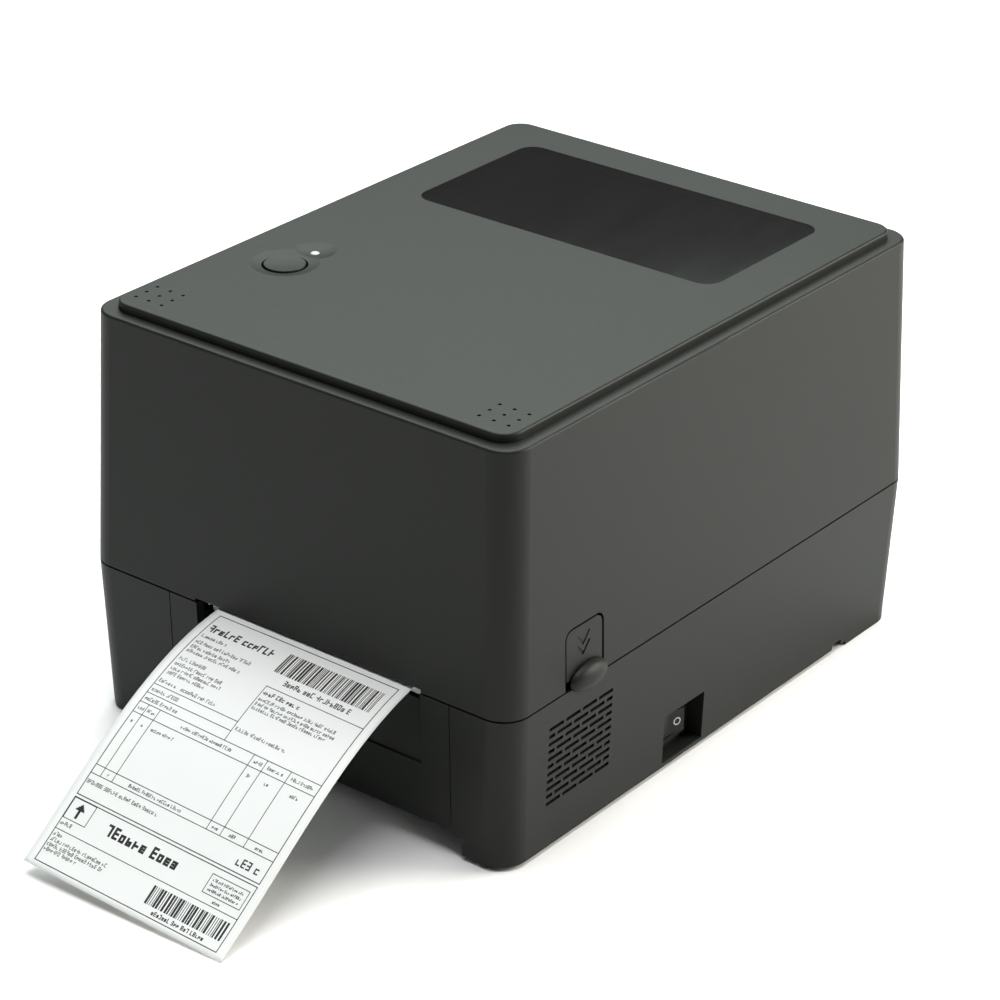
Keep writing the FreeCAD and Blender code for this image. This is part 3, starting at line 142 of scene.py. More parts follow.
class ShaderTree:
    """The node tree of a material or of the room, with one way to add any node."""

    def __init__(self, holder: "bpy.types.Material | bpy.types.World") -> None:
        """Start with an empty tree.

        Args:
            holder: The material or the world whose tree it is.
        """
        holder.use_nodes = True
        self.tree = holder.node_tree
        self.tree.nodes.clear()

    @cached_property
    def place(self) -> bpy.types.NodeSocket:
        """The place on the object, in metres."""
        return self.node("ShaderNodeTexCoord").outputs["Object"]

    def node(self, kind: str, settings: dict | None = None,
             sockets: dict | None = None) -> bpy.types.Node:
        """Add a node.

        Args:
            kind: The node's type.
            settings: The node's own settings, which are set first.
            sockets: A value, socket or expression for inputs, by name or number.

        Returns:
            The new node.
        """
        node = self.tree.nodes.new(kind)
        for key, value in (settings or {}).items():
            setattr(node, key, value)
        for key, value in (sockets or {}).items():
            if isinstance(value, Expression):
                value = value.socket
            if isinstance(value, bpy.types.NodeSocket):
                self.tree.links.new(value, node.inputs[key])
            else:
                node.inputs[key].default_value = value
        return node

    def noise(self, size: float, detail: float = 2.0,
              stretch: Sequence[float] = (1, 1, 1)) -> Expression:
        """Cloudy noise from 0 to 1.

        Args:
            size: The size of one cloud, in metres.
            detail: How many finer layers it has.
            stretch: How much longer the clouds are along each axis.

        Returns:
            The noise's value.
        """
        squeezed = self.node("ShaderNodeMapping", {"vector_type": "POINT"},
                             {"Vector": self.place, "Scale": [1 / s for s in stretch]})
        node = self.node("ShaderNodeTexNoise", {}, {
            "Vector": squeezed.outputs[0], "Scale": 1 / size, "Detail": detail})
        return Expression(self, node.outputs[0])

    def axis(self, name: str) -> Expression:
        """One coordinate of the object, in metres: X, Y or Z."""
        parts = self.node("ShaderNodeSeparateXYZ", {}, {0: self.place})
        return Expression(self, parts.outputs[name])

    def reach(self, middle: Vector) -> Expression:
        """The distance from a line along X, in metres.

        Args:
            middle: A point of the line.

        Returns:
            The distance.
        """
        away = self.node("ShaderNodeVectorMath", {"operation": "SUBTRACT"},
                         {0: self.place, 1: middle})
        flat = self.node("ShaderNodeVectorMath", {"operation": "MULTIPLY"},
                         {0: away.outputs[0], 1: (0.0, 1.0, 1.0)})
        length = self.node("ShaderNodeVectorMath", {"operation": "LENGTH"}, {0: flat.outputs[0]})
        return Expression(self, length.outputs["Value"])

    def blend(self, first: "Colour | bpy.types.NodeSocket", second: Colour,
              share: Expression) -> bpy.types.NodeSocket:
        """A colour between two others.

        Args:
            first: The colour where share is 0.
            second: The colour where share is 1.
            share: How much of the second there is.

        Returns:
            The blended colour.
        """
        start = first if isinstance(first, bpy.types.NodeSocket) else (*first, 1.0)
        node = self.node("ShaderNodeMix", {"data_type": "RGBA"},
                         {0: share, 6: start, 7: (*second, 1.0)})
        return node.outputs[2]

    def bump(self, height: Expression, depth: float) -> bpy.types.NodeSocket:
        """A normal from a height, where 1 stands depth metres proud."""
        return self.node("ShaderNodeBump", {}, {"Height": height, "Distance": depth}).outputs[0]

    def surface(self, **sockets: "Value | Colour | bpy.types.NodeSocket") -> None:
        """Close the tree with a Principled shader.

        Args:
            sockets: Its inputs by name, with underscores for spaces.
        """
        values = {name.replace("_", " "): (*value, 1.0) if isinstance(value, tuple) else value
                  for name, value in sockets.items()}
        shader = self.node("ShaderNodeBsdfPrincipled", {}, values)
        self.node("ShaderNodeOutputMaterial", {}, {"Surface": shader.outputs[0]})


# -------------------------------------------------------------------- finishes


def shade(colour: Colour, factor: float) -> Colour:
    """The colour made lighter or darker by a factor."""
    return tuple(min(1.0, part * factor) for part in colour)


@dataclass(frozen=True)
class Finish:
    """An even finish.

    Args:
        title: The material's name.
        colour: Its colour, linear.
        roughness: From 0, a mirror, to 1, chalk.
        metallic: 1 for bare metal.
    """

    title: str
    colour: Colour
    roughness: float
    metallic: float = 0.0

    def build(self) -> bpy.types.Material:
        """Make the material.

        Returns:
            The new material.
        """
        material = bpy.data.materials.new(self.title)
        self.dress(ShaderTree(material))
        return material

    def dress(self, shader: ShaderTree) -> None:
        """Fill the shader's tree."""
        shader.surface(Base_Color=self.colour, Roughness=self.roughness, Metallic=self.metallic)

    def varied(self, shader: ShaderTree, dark: float, light: float,
               share: Expression) -> bpy.types.NodeSocket:
        """The finish's colour, from dark times itself to light times itself by a share."""
        return shader.blend(shade(self.colour, dark), shade(self.colour, light), share)


@dataclass(frozen=True)
class MouldedPlastic(Finish):
    """Injection-moulded plastic with a fine spark-eroded grain, whose raised tops are painted
    lighter as a painted highlight.

    Args:
        grain: The size of one grain, in metres.
        relief: How deep the grain is, in metres.
        patch: The size of the slow drifts of colour, in metres.
        cloud: How much the colour drifts over a large face.
        top_highlight: How much lighter the tops of the grain are painted, as a painted highlight.
        top_highlight_share: How much of that painted highlight shows.
        uneven: How much the roughness varies with the grain.
        gloss: The strength of its reflections, where 0.5 is polished plastic.
    """

    grain: float = 0.45 * MM
    relief: float = 0.012 * MM
    patch: float = 60 * MM
    cloud: float = 0.10
    top_highlight: float = 1.35
    top_highlight_share: float = 0.22
    uneven: float = 0.16
    gloss: float = 0.18

    def dress(self, shader: ShaderTree) -> None:
        """Drift the colour slowly, paint a highlight on the tops of the grain, and roughen the
        surface finely.

        Args:
            shader: The tree to fill.
        """
        drift = shader.noise(self.patch, detail=3)
        grain = shader.noise(self.grain)
        colour = self.varied(shader, 1 - self.cloud, 1 + self.cloud, drift)
        # Painted highlight: the grain's raised tops, where the bump is highest, are painted lighter
        # than its hollows.
        highlit_grain = shader.blend(colour, shade(self.colour, self.top_highlight), self.top_highlight_share * grain)
        shader.surface(Base_Color=highlit_grain, Specular_IOR_Level=self.gloss,
                       Roughness=self.roughness - self.uneven / 2 + self.uneven * grain,
                       Normal=shader.bump(grain, self.relief))


@dataclass(frozen=True)
class SmokedSheet(Finish):
    """Dark clear plastic sheet with a polished face.

    Args:
        depth: How much of what lies behind is hidden, from 0 to 1.
        gloss: The strength of its reflections, where 0.5 is bare polished plastic.
        wipe: The width of one wiping mark, in metres.
        along: How long the marks are along each axis, against their width.
        smear: How much the marks dull the face.
    """

    depth: float = 0.93
    gloss: float = 0.3
    wipe: float = 9 * MM
    along: Sequence[float] = (1.0, 5.0, 1.0)
    smear: float = 0.04

    def dress(self, shader: ShaderTree) -> None:
        """Polish it, with a few faint wiping marks.

        Args:
            shader: The tree to fill.
        """
        wiped = shader.noise(self.wipe, 4, self.along)
        shader.surface(Base_Color=self.colour, Roughness=self.roughness + self.smear * wiped,
                       Alpha=self.depth, Specular_IOR_Level=self.gloss)


@dataclass(frozen=True)
class BrushedMetal(Finish):
    """Metal with fine lines along one axis.

    Args:
        along: How long the lines are along each axis, against their width.
        line: The width of one line, in metres.
        relief: How deep the lines are, in metres.
        dark: The darkest line's colour against the metal's.
        light: The lightest line's.
        stain: The size of one stain, in metres.
        tarnish: A stain's colour against the metal's.
        stained: How much of the stains shows.
        fall: How far the roughness falls between the lines.
        rise: How far it rises from there to a line's top.
    """

    along: Sequence[float] = (30.0, 1.0, 1.0)
    line: float = 0.35 * MM
    relief: float = 0.006 * MM
    dark: float = 0.80
    light: float = 1.10
    stain: float = 18 * MM
    tarnish: float = 0.72
    stained: float = 0.35
    fall: float = 0.08
    rise: float = 0.20

    def dress(self, shader: ShaderTree) -> None:
        """Streak the colour, the roughness and the surface together.

        Args:
            shader: The tree to fill.
        """
        streaks = shader.noise(self.line, 3, self.along)
        stain = shader.noise(self.stain, 3)
        colour = self.varied(shader, self.dark, self.light, streaks)
        stained = shader.blend(colour, shade(self.colour, self.tarnish), self.stained * stain)
        shader.surface(Base_Color=stained, Metallic=self.metallic,
                       Roughness=self.roughness - self.fall + self.rise * streaks,
                       Normal=shader.bump(streaks, self.relief))


@dataclass(frozen=True)
class Fibrous(Finish):
    """Paper, card or rubber: a soft mottled surface.

    Args:
        fibre: The size of one fibre, in metres.
        along: How long a fibre is along each axis, against its size.
        relief: How deep it is, in metres.
        contrast: How much the colour varies.
    """

    fibre: float = 0.5 * MM
    along: Sequence[float] = (2.5, 1.0, 1.0)
    relief: float = 0.01 * MM
    contrast: float = 0.03

    def dress(self, shader: ShaderTree) -> None:
        """Mottle the colour and the surface together.

        Args:
            shader: The tree to fill.
        """
        fibres = shader.noise(self.fibre, 4, self.along)
        colour = self.varied(shader, 1 - self.contrast, 1 + self.contrast, fibres)
        shader.surface(Base_Color=colour, Roughness=self.roughness,
                       Normal=shader.bump(fibres, self.relief))


@dataclass(frozen=True)
class Wound(Finish):
    """A roll whose ends show the edges of its layers as rings.

    Args:
        middle: A point of the roll's axis, which lies along X.
        layer: The distance from one visible ring to the next, in metres.
        line: The colour between the layers.
        patch: The size of the patches where the rings show more or less, in metres.
        contrast: How strongly the rings show.
        groove: How deep they are, in metres.
    """

    middle: Vector = field(default_factory=Vector)
    layer: float = 0.6 * MM
    line: Colour = (0.3, 0.3, 0.3)
    patch: float = 1.6 * MM
    contrast: float = 0.7
    groove: float = 0.02 * MM

    def dress(self, shader: ShaderTree) -> None:
        """Ring the ends by the distance from the axis.

        Args:
            shader: The tree to fill.
        """
        turns = shader.reach(self.middle) * (2 * math.pi / self.layer)
        ring = 0.5 + 0.5 * turns.sine()
        shown = ring * shader.noise(self.patch, detail=3) * self.contrast
        shader.surface(Base_Color=shader.blend(self.colour, self.line, shown),
                       Roughness=self.roughness, Normal=shader.bump(ring, self.groove))


@dataclass(frozen=True)
class PrintedBoard(Finish):
    """Glass-fibre board under green solder mask, with raised tracks.

    Args:
        track: The distance from one track to the next, in metres.
        gap: The share of that distance without copper.
        copper: The lighter green over a track.
        raised: How far a track stands proud, in metres.
        patches: For each way that tracks run: the axis across them, the size of one patch of
            them in metres, and the noise level that a patch starts at.
    """

    track: float = 1.27 * MM
    gap: float = 0.72
    copper: Colour = (0.06, 0.30, 0.14)
    raised: float = 0.05 * MM
    patches: tuple[tuple[str, float, float], ...] = (("Y", 9 * MM, 0.50), ("X", 7 * MM, 0.54))

    def dress(self, shader: ShaderTree) -> None:
        """Run tracks both ways where two patchy masks allow them.

        Args:
            shader: The tree to fill.
        """
        runs = [((shader.axis(name) * (1 / self.track)).fraction() > self.gap)
                * (shader.noise(size, detail=0) > level) for name, size, level in self.patches]
        tracks = runs[0].math("MAXIMUM", *runs)
        shader.surface(Base_Color=shader.blend(self.colour, self.copper, tracks),
                       Roughness=self.roughness, Normal=shader.bump(tracks, self.raised))


@dataclass(frozen=True)
class FloorPaint(Finish):
    """A pale floor that glows softly far from the middle, so that it meets the white backdrop.

    Args:
        near: Where the glow begins, in metres from the middle.
        far: Where it is whole.
    """

    near: float = 0.55
    far: float = 2.2

    def dress(self, shader: ShaderTree) -> None:
        """Fade the glow in by the distance from the middle.

        Args:
            shader: The tree to fill.
        """
        away = shader.node("ShaderNodeVectorMath", {"operation": "LENGTH"}, {0: shader.place})
        fade = shader.node("ShaderNodeMapRange", {"interpolation_type": "SMOOTHSTEP"}, {
            "Value": away.outputs["Value"], "From Min": self.near, "From Max": self.far})
        glow = shader.blend((0.0, 0.0, 0.0), (1.0, 1.0, 1.0), Expression(shader, fade.outputs[0]))
        shader.surface(Base_Color=self.colour, Roughness=self.roughness, Emission_Color=glow,
                       Emission_Strength=1.0)


class Trim(Enum):
    """The printer's finishes that are alike wherever they are used."""

    HOUSING = MouldedPlastic("grained_housing", (0.0100, 0.0116, 0.0098), 0.46)
    TRAY = MouldedPlastic("moulded_tray", (0.022, 0.023, 0.022), 0.42, grain=0.7 * MM)
    BLACK = MouldedPlastic("satin_black", (0.010, 0.010, 0.011), 0.38, relief=0.006 * MM)
    WINDOW = SmokedSheet("window_sheet", (0.005, 0.005, 0.005), 0.08)
    LENS = Finish("lamp_lens", (0.40, 0.42, 0.40), 0.20)
    RUBBER = Fibrous("roller_rubber", (0.022, 0.022, 0.023), 0.78, contrast=0.15)
    STEEL = BrushedMetal("zinc_steel", (0.55, 0.56, 0.57), 0.36, 1.0)
    BLACKENED = BrushedMetal("blackened_steel", (0.050, 0.050, 0.052), 0.42, 0.8)
    SPRING = Finish("spring_steel", (0.62, 0.62, 0.62), 0.24, 1.0)
    SHAFT = BrushedMetal("ground_shaft", (0.62, 0.62, 0.62), 0.22, 1.0, along=(1.0, 8.0, 8.0))
    MOTOR = BrushedMetal("motor_can", (0.09, 0.09, 0.10), 0.40, 0.6, along=(8.0, 1.0, 1.0))
    ALUMINIUM = BrushedMetal("heatsink_aluminium", (0.68, 0.69, 0.71), 0.33, 1.0)
    CERAMIC = Finish("head_ceramic", (0.72, 0.69, 0.60), 0.18)
    PAPER = Fibrous("label_paper", (0.80, 0.82, 0.81), 0.55, fibre=0.35 * MM, relief=0.006 * MM,
                    contrast=0.015)
    CARD = Fibrous("core_card", (0.42, 0.31, 0.20), 0.80, fibre=1.2 * MM, relief=0.05 * MM,
                   contrast=0.12)
    INK = Finish("label_ink", (0.012, 0.012, 0.012), 0.6)
    MARK = Finish("switch_mark", (0.42, 0.43, 0.42), 0.5)
    BOARD = PrintedBoard("masked_board", (0.018, 0.14, 0.06), 0.32)
    GOLD = BrushedMetal("gold_contact", (0.85, 0.60, 0.22), 0.25, 1.0)


class Palette:
    """Makes each finish once and hands it to whatever wears it."""

    def __init__(self) -> None:
        """Start with no materials made."""
        self.made: dict[str, bpy.types.Material] = {}

    def material(self, finish: "Trim | Finish") -> bpy.types.Material:
        """The material of a finish, made at its first use.

        Args:
            finish: The finish.

        Returns:
            Its one material.
        """
        finish = finish.value if isinstance(finish, Trim) else finish
        if finish.title not in self.made:
            self.made[finish.title] = finish.build()
        return self.made[finish.title]

    def dress(self, finish: "Trim | Finish", *nodes: str) -> None:
        """Give CAD nodes a finish.

        Args:
            finish: What they wear.
            nodes: The names of the nodes.
        """
        material = self.material(finish)
        for name in nodes:
            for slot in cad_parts[name].material_slots:
                slot.material = material
            log.info("%s wears %s", name, material.name)


# --------------------------------------------------------------- geometry trees


class GeometryTree:
    """A geometry node tree with named inputs for its sizes."""

    def __init__(self, title: str, sizes: dict[str, float | int | Vector]) -> None:
        """Make a tree.

        Args:
            title: The tree's name.
            sizes: The value of each named input; whole numbers make whole-number inputs.
        """
        self.sizes = sizes
        self.group = bpy.data.node_groups.new(title, "GeometryNodeTree")
        kinds = {float: "NodeSocketFloat", int: "NodeSocketInt", Vector: "NodeSocketVector"}
        for name, value in sizes.items():
            self.group.interface.new_socket(name, in_out="INPUT", socket_type=kinds[type(value)])
        self.group.interface.new_socket("Geometry", in_out="OUTPUT",
                                        socket_type="NodeSocketGeometry")
        self.inputs = self.group.nodes.new("NodeGroupInput").outputs

    def node(self, kind: str, settings: dict | None = None,
             sockets: dict | None = None) -> bpy.types.NodeSocket:
        """Add a node.

        Args:
            kind: The node's type.
            settings: The node's own settings, which are set first.
            sockets: A value, a socket, or the name of one of the tree's inputs, for each
                socket by name or number.

        Returns:
            The node's first output.
        """
        node = self.group.nodes.new(kind)
        for key, value in (settings or {}).items():
            setattr(node, key, value)
        for key, value in (sockets or {}).items():
            if isinstance(value, str):
                value = self.inputs[value]
            if isinstance(value, bpy.types.NodeSocket):
                self.group.links.new(value, node.inputs[key])
            else:
                node.inputs[key].default_value = value
        return node.outputs[0]

    def moved(self, geometry: bpy.types.NodeSocket, by: str) -> bpy.types.NodeSocket:
        """The geometry moved by a named input."""
        return self.node("GeometryNodeTransform", {}, {"Geometry": geometry, "Translation": by})

    def grow(self, title: str, geometry: bpy.types.NodeSocket,
             material: bpy.types.Material) -> bpy.types.Object:
        """Close the tree and turn its result into a plain mesh.

        Args:
            title: The piece's name.
            geometry: What the tree makes.
            material: What the piece is made of.

        Returns:
            The piece, at the origin, with no modifier left.
        """
        whole = self.node("GeometryNodeRealizeInstances", {}, {0: geometry})
        worn = self.node("GeometryNodeSetMaterial", {}, {"Geometry": whole, "Material": material})
        self.group.links.new(worn, self.group.nodes.new("NodeGroupOutput").inputs[0])
        piece = bpy.data.objects.new(title, bpy.data.meshes.new(title))
        bpy.context.scene.collection.objects.link(piece)
        modifier = piece.modifiers.new(title, "NODES")
        modifier.node_group = self.group
        for item in self.group.interface.items_tree:
            if item.in_out == "INPUT":
                modifier[item.identifier] = self.sizes[item.name]
        depsgraph = bpy.context.evaluated_depsgraph_get()
        grown = piece.evaluated_get(depsgraph)
        mesh = bpy.data.meshes.new_from_object(grown, depsgraph=depsgraph)
        piece.modifiers.remove(modifier)
        piece.data = mesh
        return piece


# -------------------------------------------------------------------- meshes


def plain_piece(title: str, mesh: bmesh.types.BMesh,
                material: bpy.types.Material) -> bpy.types.Object:
    """A piece from a finished bmesh, with its faces turned outwards.

    Args:
        title: The piece's name.
        mesh: The shape, which is freed.
        material: What the piece is made of.

    Returns:
        The piece, at the origin.
    """
    bmesh.ops.recalc_face_normals(mesh, faces=mesh.faces)
    data = bpy.data.meshes.new(title)
    mesh.to_mesh(data)
    mesh.free()
    data.materials.append(material)
    piece = bpy.data.objects.new(title, data)
    bpy.context.scene.collection.objects.link(piece)
    return piece


def closed_slab(mesh: bmesh.types.BMesh, top: Sequence[Sequence[Vector]],
                bottom: Sequence[Sequence[Vector]], ring: bool = False) -> None:
    """Add a closed slab between two grids of points.

    Args:
        mesh: The shape that it is added to.
        top: Rows of points of the upper face.
        bottom: The points under them.
        ring: Whether the last row joins the first one, which leaves two separate edges.
    """
    rows, columns = len(top), len(top[0])
    upper, lower = ([[mesh.verts.new(p) for p in row] for row in face] for face in (top, bottom))
    steps = [(i, (i + 1) % rows) for i in range(rows if ring else rows - 1)]
    for i, k in steps:
        for j in range(columns - 1):
            for face in (upper, lower):
                mesh.faces.new((face[i][j], face[k][j], face[k][j + 1], face[i][j + 1]))
    edges = [((i, j), (k, j)) for j in (0, columns - 1) for i, k in steps]
    if not ring:
        edges += [((i, j), (i, j + 1)) for i in (0, rows - 1) for j in range(columns - 1)]
    for (i, j), (k, m) in edges:
        mesh.faces.new((upper[i][j], upper[k][m], lower[k][m], lower[i][j]))


def middle_of(node: str) -> Vector:
    """The middle of a CAD node's box."""
    low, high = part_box(node)
    return (Vector(low) + Vector(high)) / 2


# ----------------------------------------------------------------- housing


@dataclass
class Housing:
    """The moulded base and cover, the window, the lamp, the latches, the hinges and the feet.

    Args:
        palette: What makes the finishes.
    """

    palette: Palette

    def build(self) -> None:
        """Dress the shells and everything let into them."""
        self.palette.dress(Trim.HOUSING, "base_shell", "top_cover", "front_panel", "latch_left",
                           "latch_right", "feed_button")
        self.palette.dress(Trim.WINDOW, "cover_window")
        self.palette.dress(Trim.LENS, "status_lens")
        self.palette.dress(Trim.RUBBER, "rubber_feet")
        self.palette.dress(Trim.STEEL, "chassis_plate")
        self.palette.dress(Trim.BLACKENED, "hinge_brackets", "cover_hinge_leaves")
        self.palette.dress(Trim.SHAFT, "hinge_pins")


@dataclass
class PowerSwitch:
    """The rocker in its recess, with its two printed marks.

    Args:
        palette: What makes the finishes.
        ring: The outer radius of the off mark.
        line: The width of the marks' lines.
        inset: How far each mark's middle is from the rocker's axis.
        proud: How far the paint stands proud.
        sides: How many sides the off mark has.
        rows: Where the on mark's rows of points lie, against the off mark's radius.
        clear: How far outside the rocker the marks are cast from.
    """

    palette: Palette
    ring: float = 1.8 * MM
    line: float = 0.55 * MM
    inset: float = 4.3 * MM
    proud: float = 0.04 * MM
    sides: int = 40
    rows: Sequence[float] = (-1, -0.33, 0.33, 1)
    clear: float = 10 * MM

    def build(self) -> None:
        """Dress the switch and print its marks."""
        self.palette.dress(Trim.BLACK, "power_rocker", "switch_bezel")
        pivot = middle_of("switch_bezel")
        angles = [2 * math.pi * i / self.sides for i in range(self.sides)]
        off = [[(pivot.y + self.inset + radius * math.cos(a), pivot.z + radius * math.sin(a))
                for radius in (self.ring - self.line, self.ring)] for a in angles]
        on = [[(pivot.y - self.inset + side, pivot.z + self.ring * height)
               for side in (-self.line / 2, self.line / 2)] for height in self.rows]
        marks = bmesh.new()
        for rows, ring in ((off, True), (on, False)):
            closed_slab(marks, self.laid(rows, self.proud), self.laid(rows, -self.proud), ring)
        piece = plain_piece("switch_marks", marks, self.palette.material(Trim.MARK))
        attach(piece, "power_rocker")
        log.info("switch_marks printed on power_rocker")

    def laid(self, rows: Iterable[Iterable[Span]], lift: float) -> list[list[Vector]]:
        """Points laid on the rocker's outer face.

        Args:
            rows: Rows of Y and Z places.
            lift: How far outside the face they lie.

        Returns:
            The points, row by row.
        """
        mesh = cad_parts["power_rocker"].data
        faces = [tuple(p.vertices) for p in mesh.polygons]
        tree = BVHTree.FromPolygons([v.co for v in mesh.vertices], faces)
        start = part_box("power_rocker")[1][0] + self.clear
        inwards, raised = Vector((-1, 0, 0)), Vector((lift, 0, 0))
        return [[tree.ray_cast(Vector((start, y, z)), inwards)[0] + raised for y, z in row]
                for row in rows]


# ----------------------------------------------------------------- fasteners


@dataclass
class ScrewSet:
    """Pan-head screws on the corners of a rectangle, each with a cross recess.

    Args:
        palette: What makes the finishes.
        node: The CAD node that they stand for.
        body: The body that they ride on.
        slot_width: The width of the recess's arms.
        slot_depth: How deep the recess goes.
        slot_share: The length of its arms against the head's radius.
        sides: How many sides a head has.
        reach: How far from a corner of the node's box its screw lies at most.
    """

    palette: Palette
    node: str
    body: str
    slot_width: float = 0.9 * MM
    slot_depth: float = 1.1 * MM
    slot_share: float = 1.25
    sides: int = 40
    reach: float = 12 * MM

    def build(self) -> None:
        """Make the screws as one piece."""
        low, high = (Vector(corner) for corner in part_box(self.node))
        radius = self.head_radius()
        tall = high.z - low.z
        tree = GeometryTree(f"{self.node}_tree", {
            "Radius": radius, "Height": tall, "Slot Width": self.slot_width,
            "Slot Length": radius * self.slot_share, "Slot Depth": self.slot_depth,
            "Span X": high.x - low.x - 2 * radius, "Span Y": high.y - low.y - 2 * radius,
            "Middle": (low + high) / 2, "Top": Vector((0, 0, tall / 2))})
        head = tree.node("GeometryNodeMeshCylinder", {"fill_type": "NGON"},
                         {"Vertices": self.sides, "Radius": "Radius", "Depth": "Height"})
        arms = []
        for across, along in (("Slot Width", "Slot Length"), ("Slot Length", "Slot Width")):
            size = tree.node("ShaderNodeCombineXYZ", {}, {
                "X": across, "Y": along, "Z": "Slot Depth"})
            arm = tree.node("GeometryNodeMeshCube", {}, {"Size": size})
            arms.append(tree.moved(arm, "Top"))
        cut = tree.node("GeometryNodeMeshBoolean", {"operation": "DIFFERENCE", "solver": "EXACT"},
                        {0: head})
        for arm in arms:
            tree.group.links.new(arm, cut.node.inputs[1])
        rectangle = tree.node("GeometryNodeMeshGrid", {}, {
            "Size X": "Span X", "Size Y": "Span Y", "Vertices X": 2, "Vertices Y": 2})
        placed = tree.moved(rectangle, "Middle")
        screws = tree.node("GeometryNodeInstanceOnPoints", {}, {"Points": placed, "Instance": cut})
        piece = tree.grow(f"{self.node}_heads", screws, self.palette.material(Trim.STEEL))
        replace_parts(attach(piece, self.body), self.node)
        log.info("%s stands for %s", piece.name, self.node)

    def head_radius(self) -> float:
        """The radius of one head, from the points nearest the first corner.

        Returns:
            The radius, in metres.
        """
        low = Vector(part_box(self.node)[0])
        near = [v.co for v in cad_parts[self.node].data.vertices
                if (v.co.xy - low.xy).length < self.reach]
        return (max(p.x for p in near) - low.x) / 2


@dataclass
class SpringSet:
    """Helical springs in a row along X.

    Args:
        palette: What makes the finishes.
        node: The CAD node that they stand for.
        body: The body at their upper ends; not used.
        moving: The body at their lower ends; not used.
        wire: The radius of the wire.
        turns: The number of coils in each.
        count: How many springs there are.
        fixed_low: Whether the upper and lower ends are swapped.
        steps: How many straight runs make one turn of wire.
        sides: How many sides the wire has.
    """

    palette: Palette
    node: str
    body: str
    moving: str
    wire: float
    turns: float
    count: int = 1
    fixed_low: bool = False
    steps: int = 28
    sides: int = 10

    def build(self) -> None:
        """Make the springs as one piece."""
        low, high = (Vector(corner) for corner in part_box(self.node))
        across = high.y - low.y
        first = Vector((low.x + across / 2, (low.y + high.y) / 2, low.z + self.wire))
        gap = (high.x - low.x - across) / max(1, self.count - 1)
        tree = GeometryTree(f"{self.node}_tree", {
            "Coil": across / 2 - self.wire, "Wire": self.wire, "Turns": self.turns,
            "Height": high.z - low.z - 2 * self.wire, "Count": self.count,
            "First": first, "Gap": Vector((gap, 0, 0))})
        coil = tree.node("GeometryNodeCurveSpiral", {}, {
            "Resolution": self.steps, "Rotations": "Turns", "Start Radius": "Coil",
            "End Radius": "Coil", "Height": "Height"})
        section = tree.node("GeometryNodeCurvePrimitiveCircle", {"mode": "RADIUS"},
                            {"Resolution": self.sides, "Radius": "Wire"})
        spring = tree.node("GeometryNodeCurveToMesh", {}, {
            "Curve": coil, "Profile Curve": section, "Fill Caps": True})
        row = tree.node("GeometryNodeMeshLine", {"mode": "OFFSET", "count_mode": "TOTAL"},
                        {"Count": "Count", "Start Location": "First", "Offset": "Gap"})
        springs = tree.node("GeometryNodeInstanceOnPoints", {}, {"Points": row, "Instance": spring})
        piece = tree.grow(f"{self.node}_coils", springs, self.palette.material(Trim.SPRING))
        start, end = Vector((0, 0, high.z)), Vector((0, 0, low.z))
        if self.fixed_low:
            start, end = end, start
        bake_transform(piece)
        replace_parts(piece, self.node)
        log.info("%s stands for %s", piece.name, self.node)


# ----------------------------------------------------------------- label paper


@dataclass
class Strip:
    """The printed strip's form: it leaves the slot and bends down about lines askew to it.

    Args:
        centre: The X place of its middle.
        width: Its width.
        back: The Y place of the slot's lip.
        level: The height of the slot's lip.
        platen: The Y place where it leaves the roller.
        roller: The height where it leaves the roller.
        skew: The angle of the bend lines to the slot.
        pitch: The slope at which it leaves the slot.
        bend: How sharply it bends at the slot, in turns per metre.
        straight: The length over which the bend dies away.
        length: Its length outside the slot.
        thick: The thickness of the paper.
        steps: How many short runs the bend is added up from.
        probe: How far past the lip the strip's slope there is measured.
    """

    centre: float = 12.0 * MM
    width: float = 101.6 * MM
    back: float = -141.0 * MM
    level: float = 70.0 * MM
    platen: float = -124.0 * MM
    roller: float = 69.1 * MM
    skew: float = math.radians(7.4)
    pitch: float = math.radians(9.6)
    bend: float = 10.1
    straight: float = 98.6 * MM
    length: float = 132.6 * MM
    thick: float = 0.16 * MM
    steps: int = 24
    probe: float = 0.5 * MM

    def outside(self, across: float, along: float) -> Vector:
        """A point of the strip outside the slot, on its lower face.

        Args:
            across: The distance to the right of its middle line.
            along: The distance from the slot.

        Returns:
            The point.
        """
        bent = along * math.cos(self.skew) + across * math.sin(self.skew)
        aside = across * math.cos(self.skew) - along * math.sin(self.skew)
        ahead, fall = min(bent, 0.0), 0.0
        step = max(bent, 0.0) / self.steps
        for i in range(self.steps):
            reach = (i + 0.5) * step
            turned = self.bend * (reach - reach ** 2 / (2 * self.straight))
            ahead += math.cos(turned) * step
            fall += math.sin(turned) * step
        right = Vector((1, 0, 0))
        forward = Vector((0, -math.cos(self.pitch), -math.sin(self.pitch)))
        up = Vector((0, -math.sin(self.pitch), math.cos(self.pitch)))
        ruling = right * math.cos(self.skew) - forward * math.sin(self.skew)
        onward = right * math.sin(self.skew) + forward * math.cos(self.skew)
        start = Vector((self.centre, self.back, self.level))
        return start + ruling * aside + onward * ahead - up * fall

    def inside(self, across: float, share: float) -> Vector:
        """A point of the strip between the roller and the slot, on its lower face.

        Args:
            across: The distance to the right of its middle line.
            share: From 0 at the roller to 1 at the slot.

        Returns:
            The point, on a cubic that is level at the roller and meets the slope at the slot.
        """
        run = self.platen - self.back
        lip = self.outside(across, 0.0)
        slope = (self.outside(across, self.probe).z - lip.z) / self.probe
        height = (self.roller * (2 * share ** 3 - 3 * share ** 2 + 1)
                  + lip.z * (3 * share ** 2 - 2 * share ** 3)
                  + slope * run * (share ** 3 - share ** 2))
        return Vector((self.centre + across, self.platen - run * share, height))

    def printed(self, across: float, along: float, lift: float) -> Vector:
        """A point over the strip's printed face, lift above it."""
        return self.outside(across, along) + Vector((0, 0, self.thick + lift))


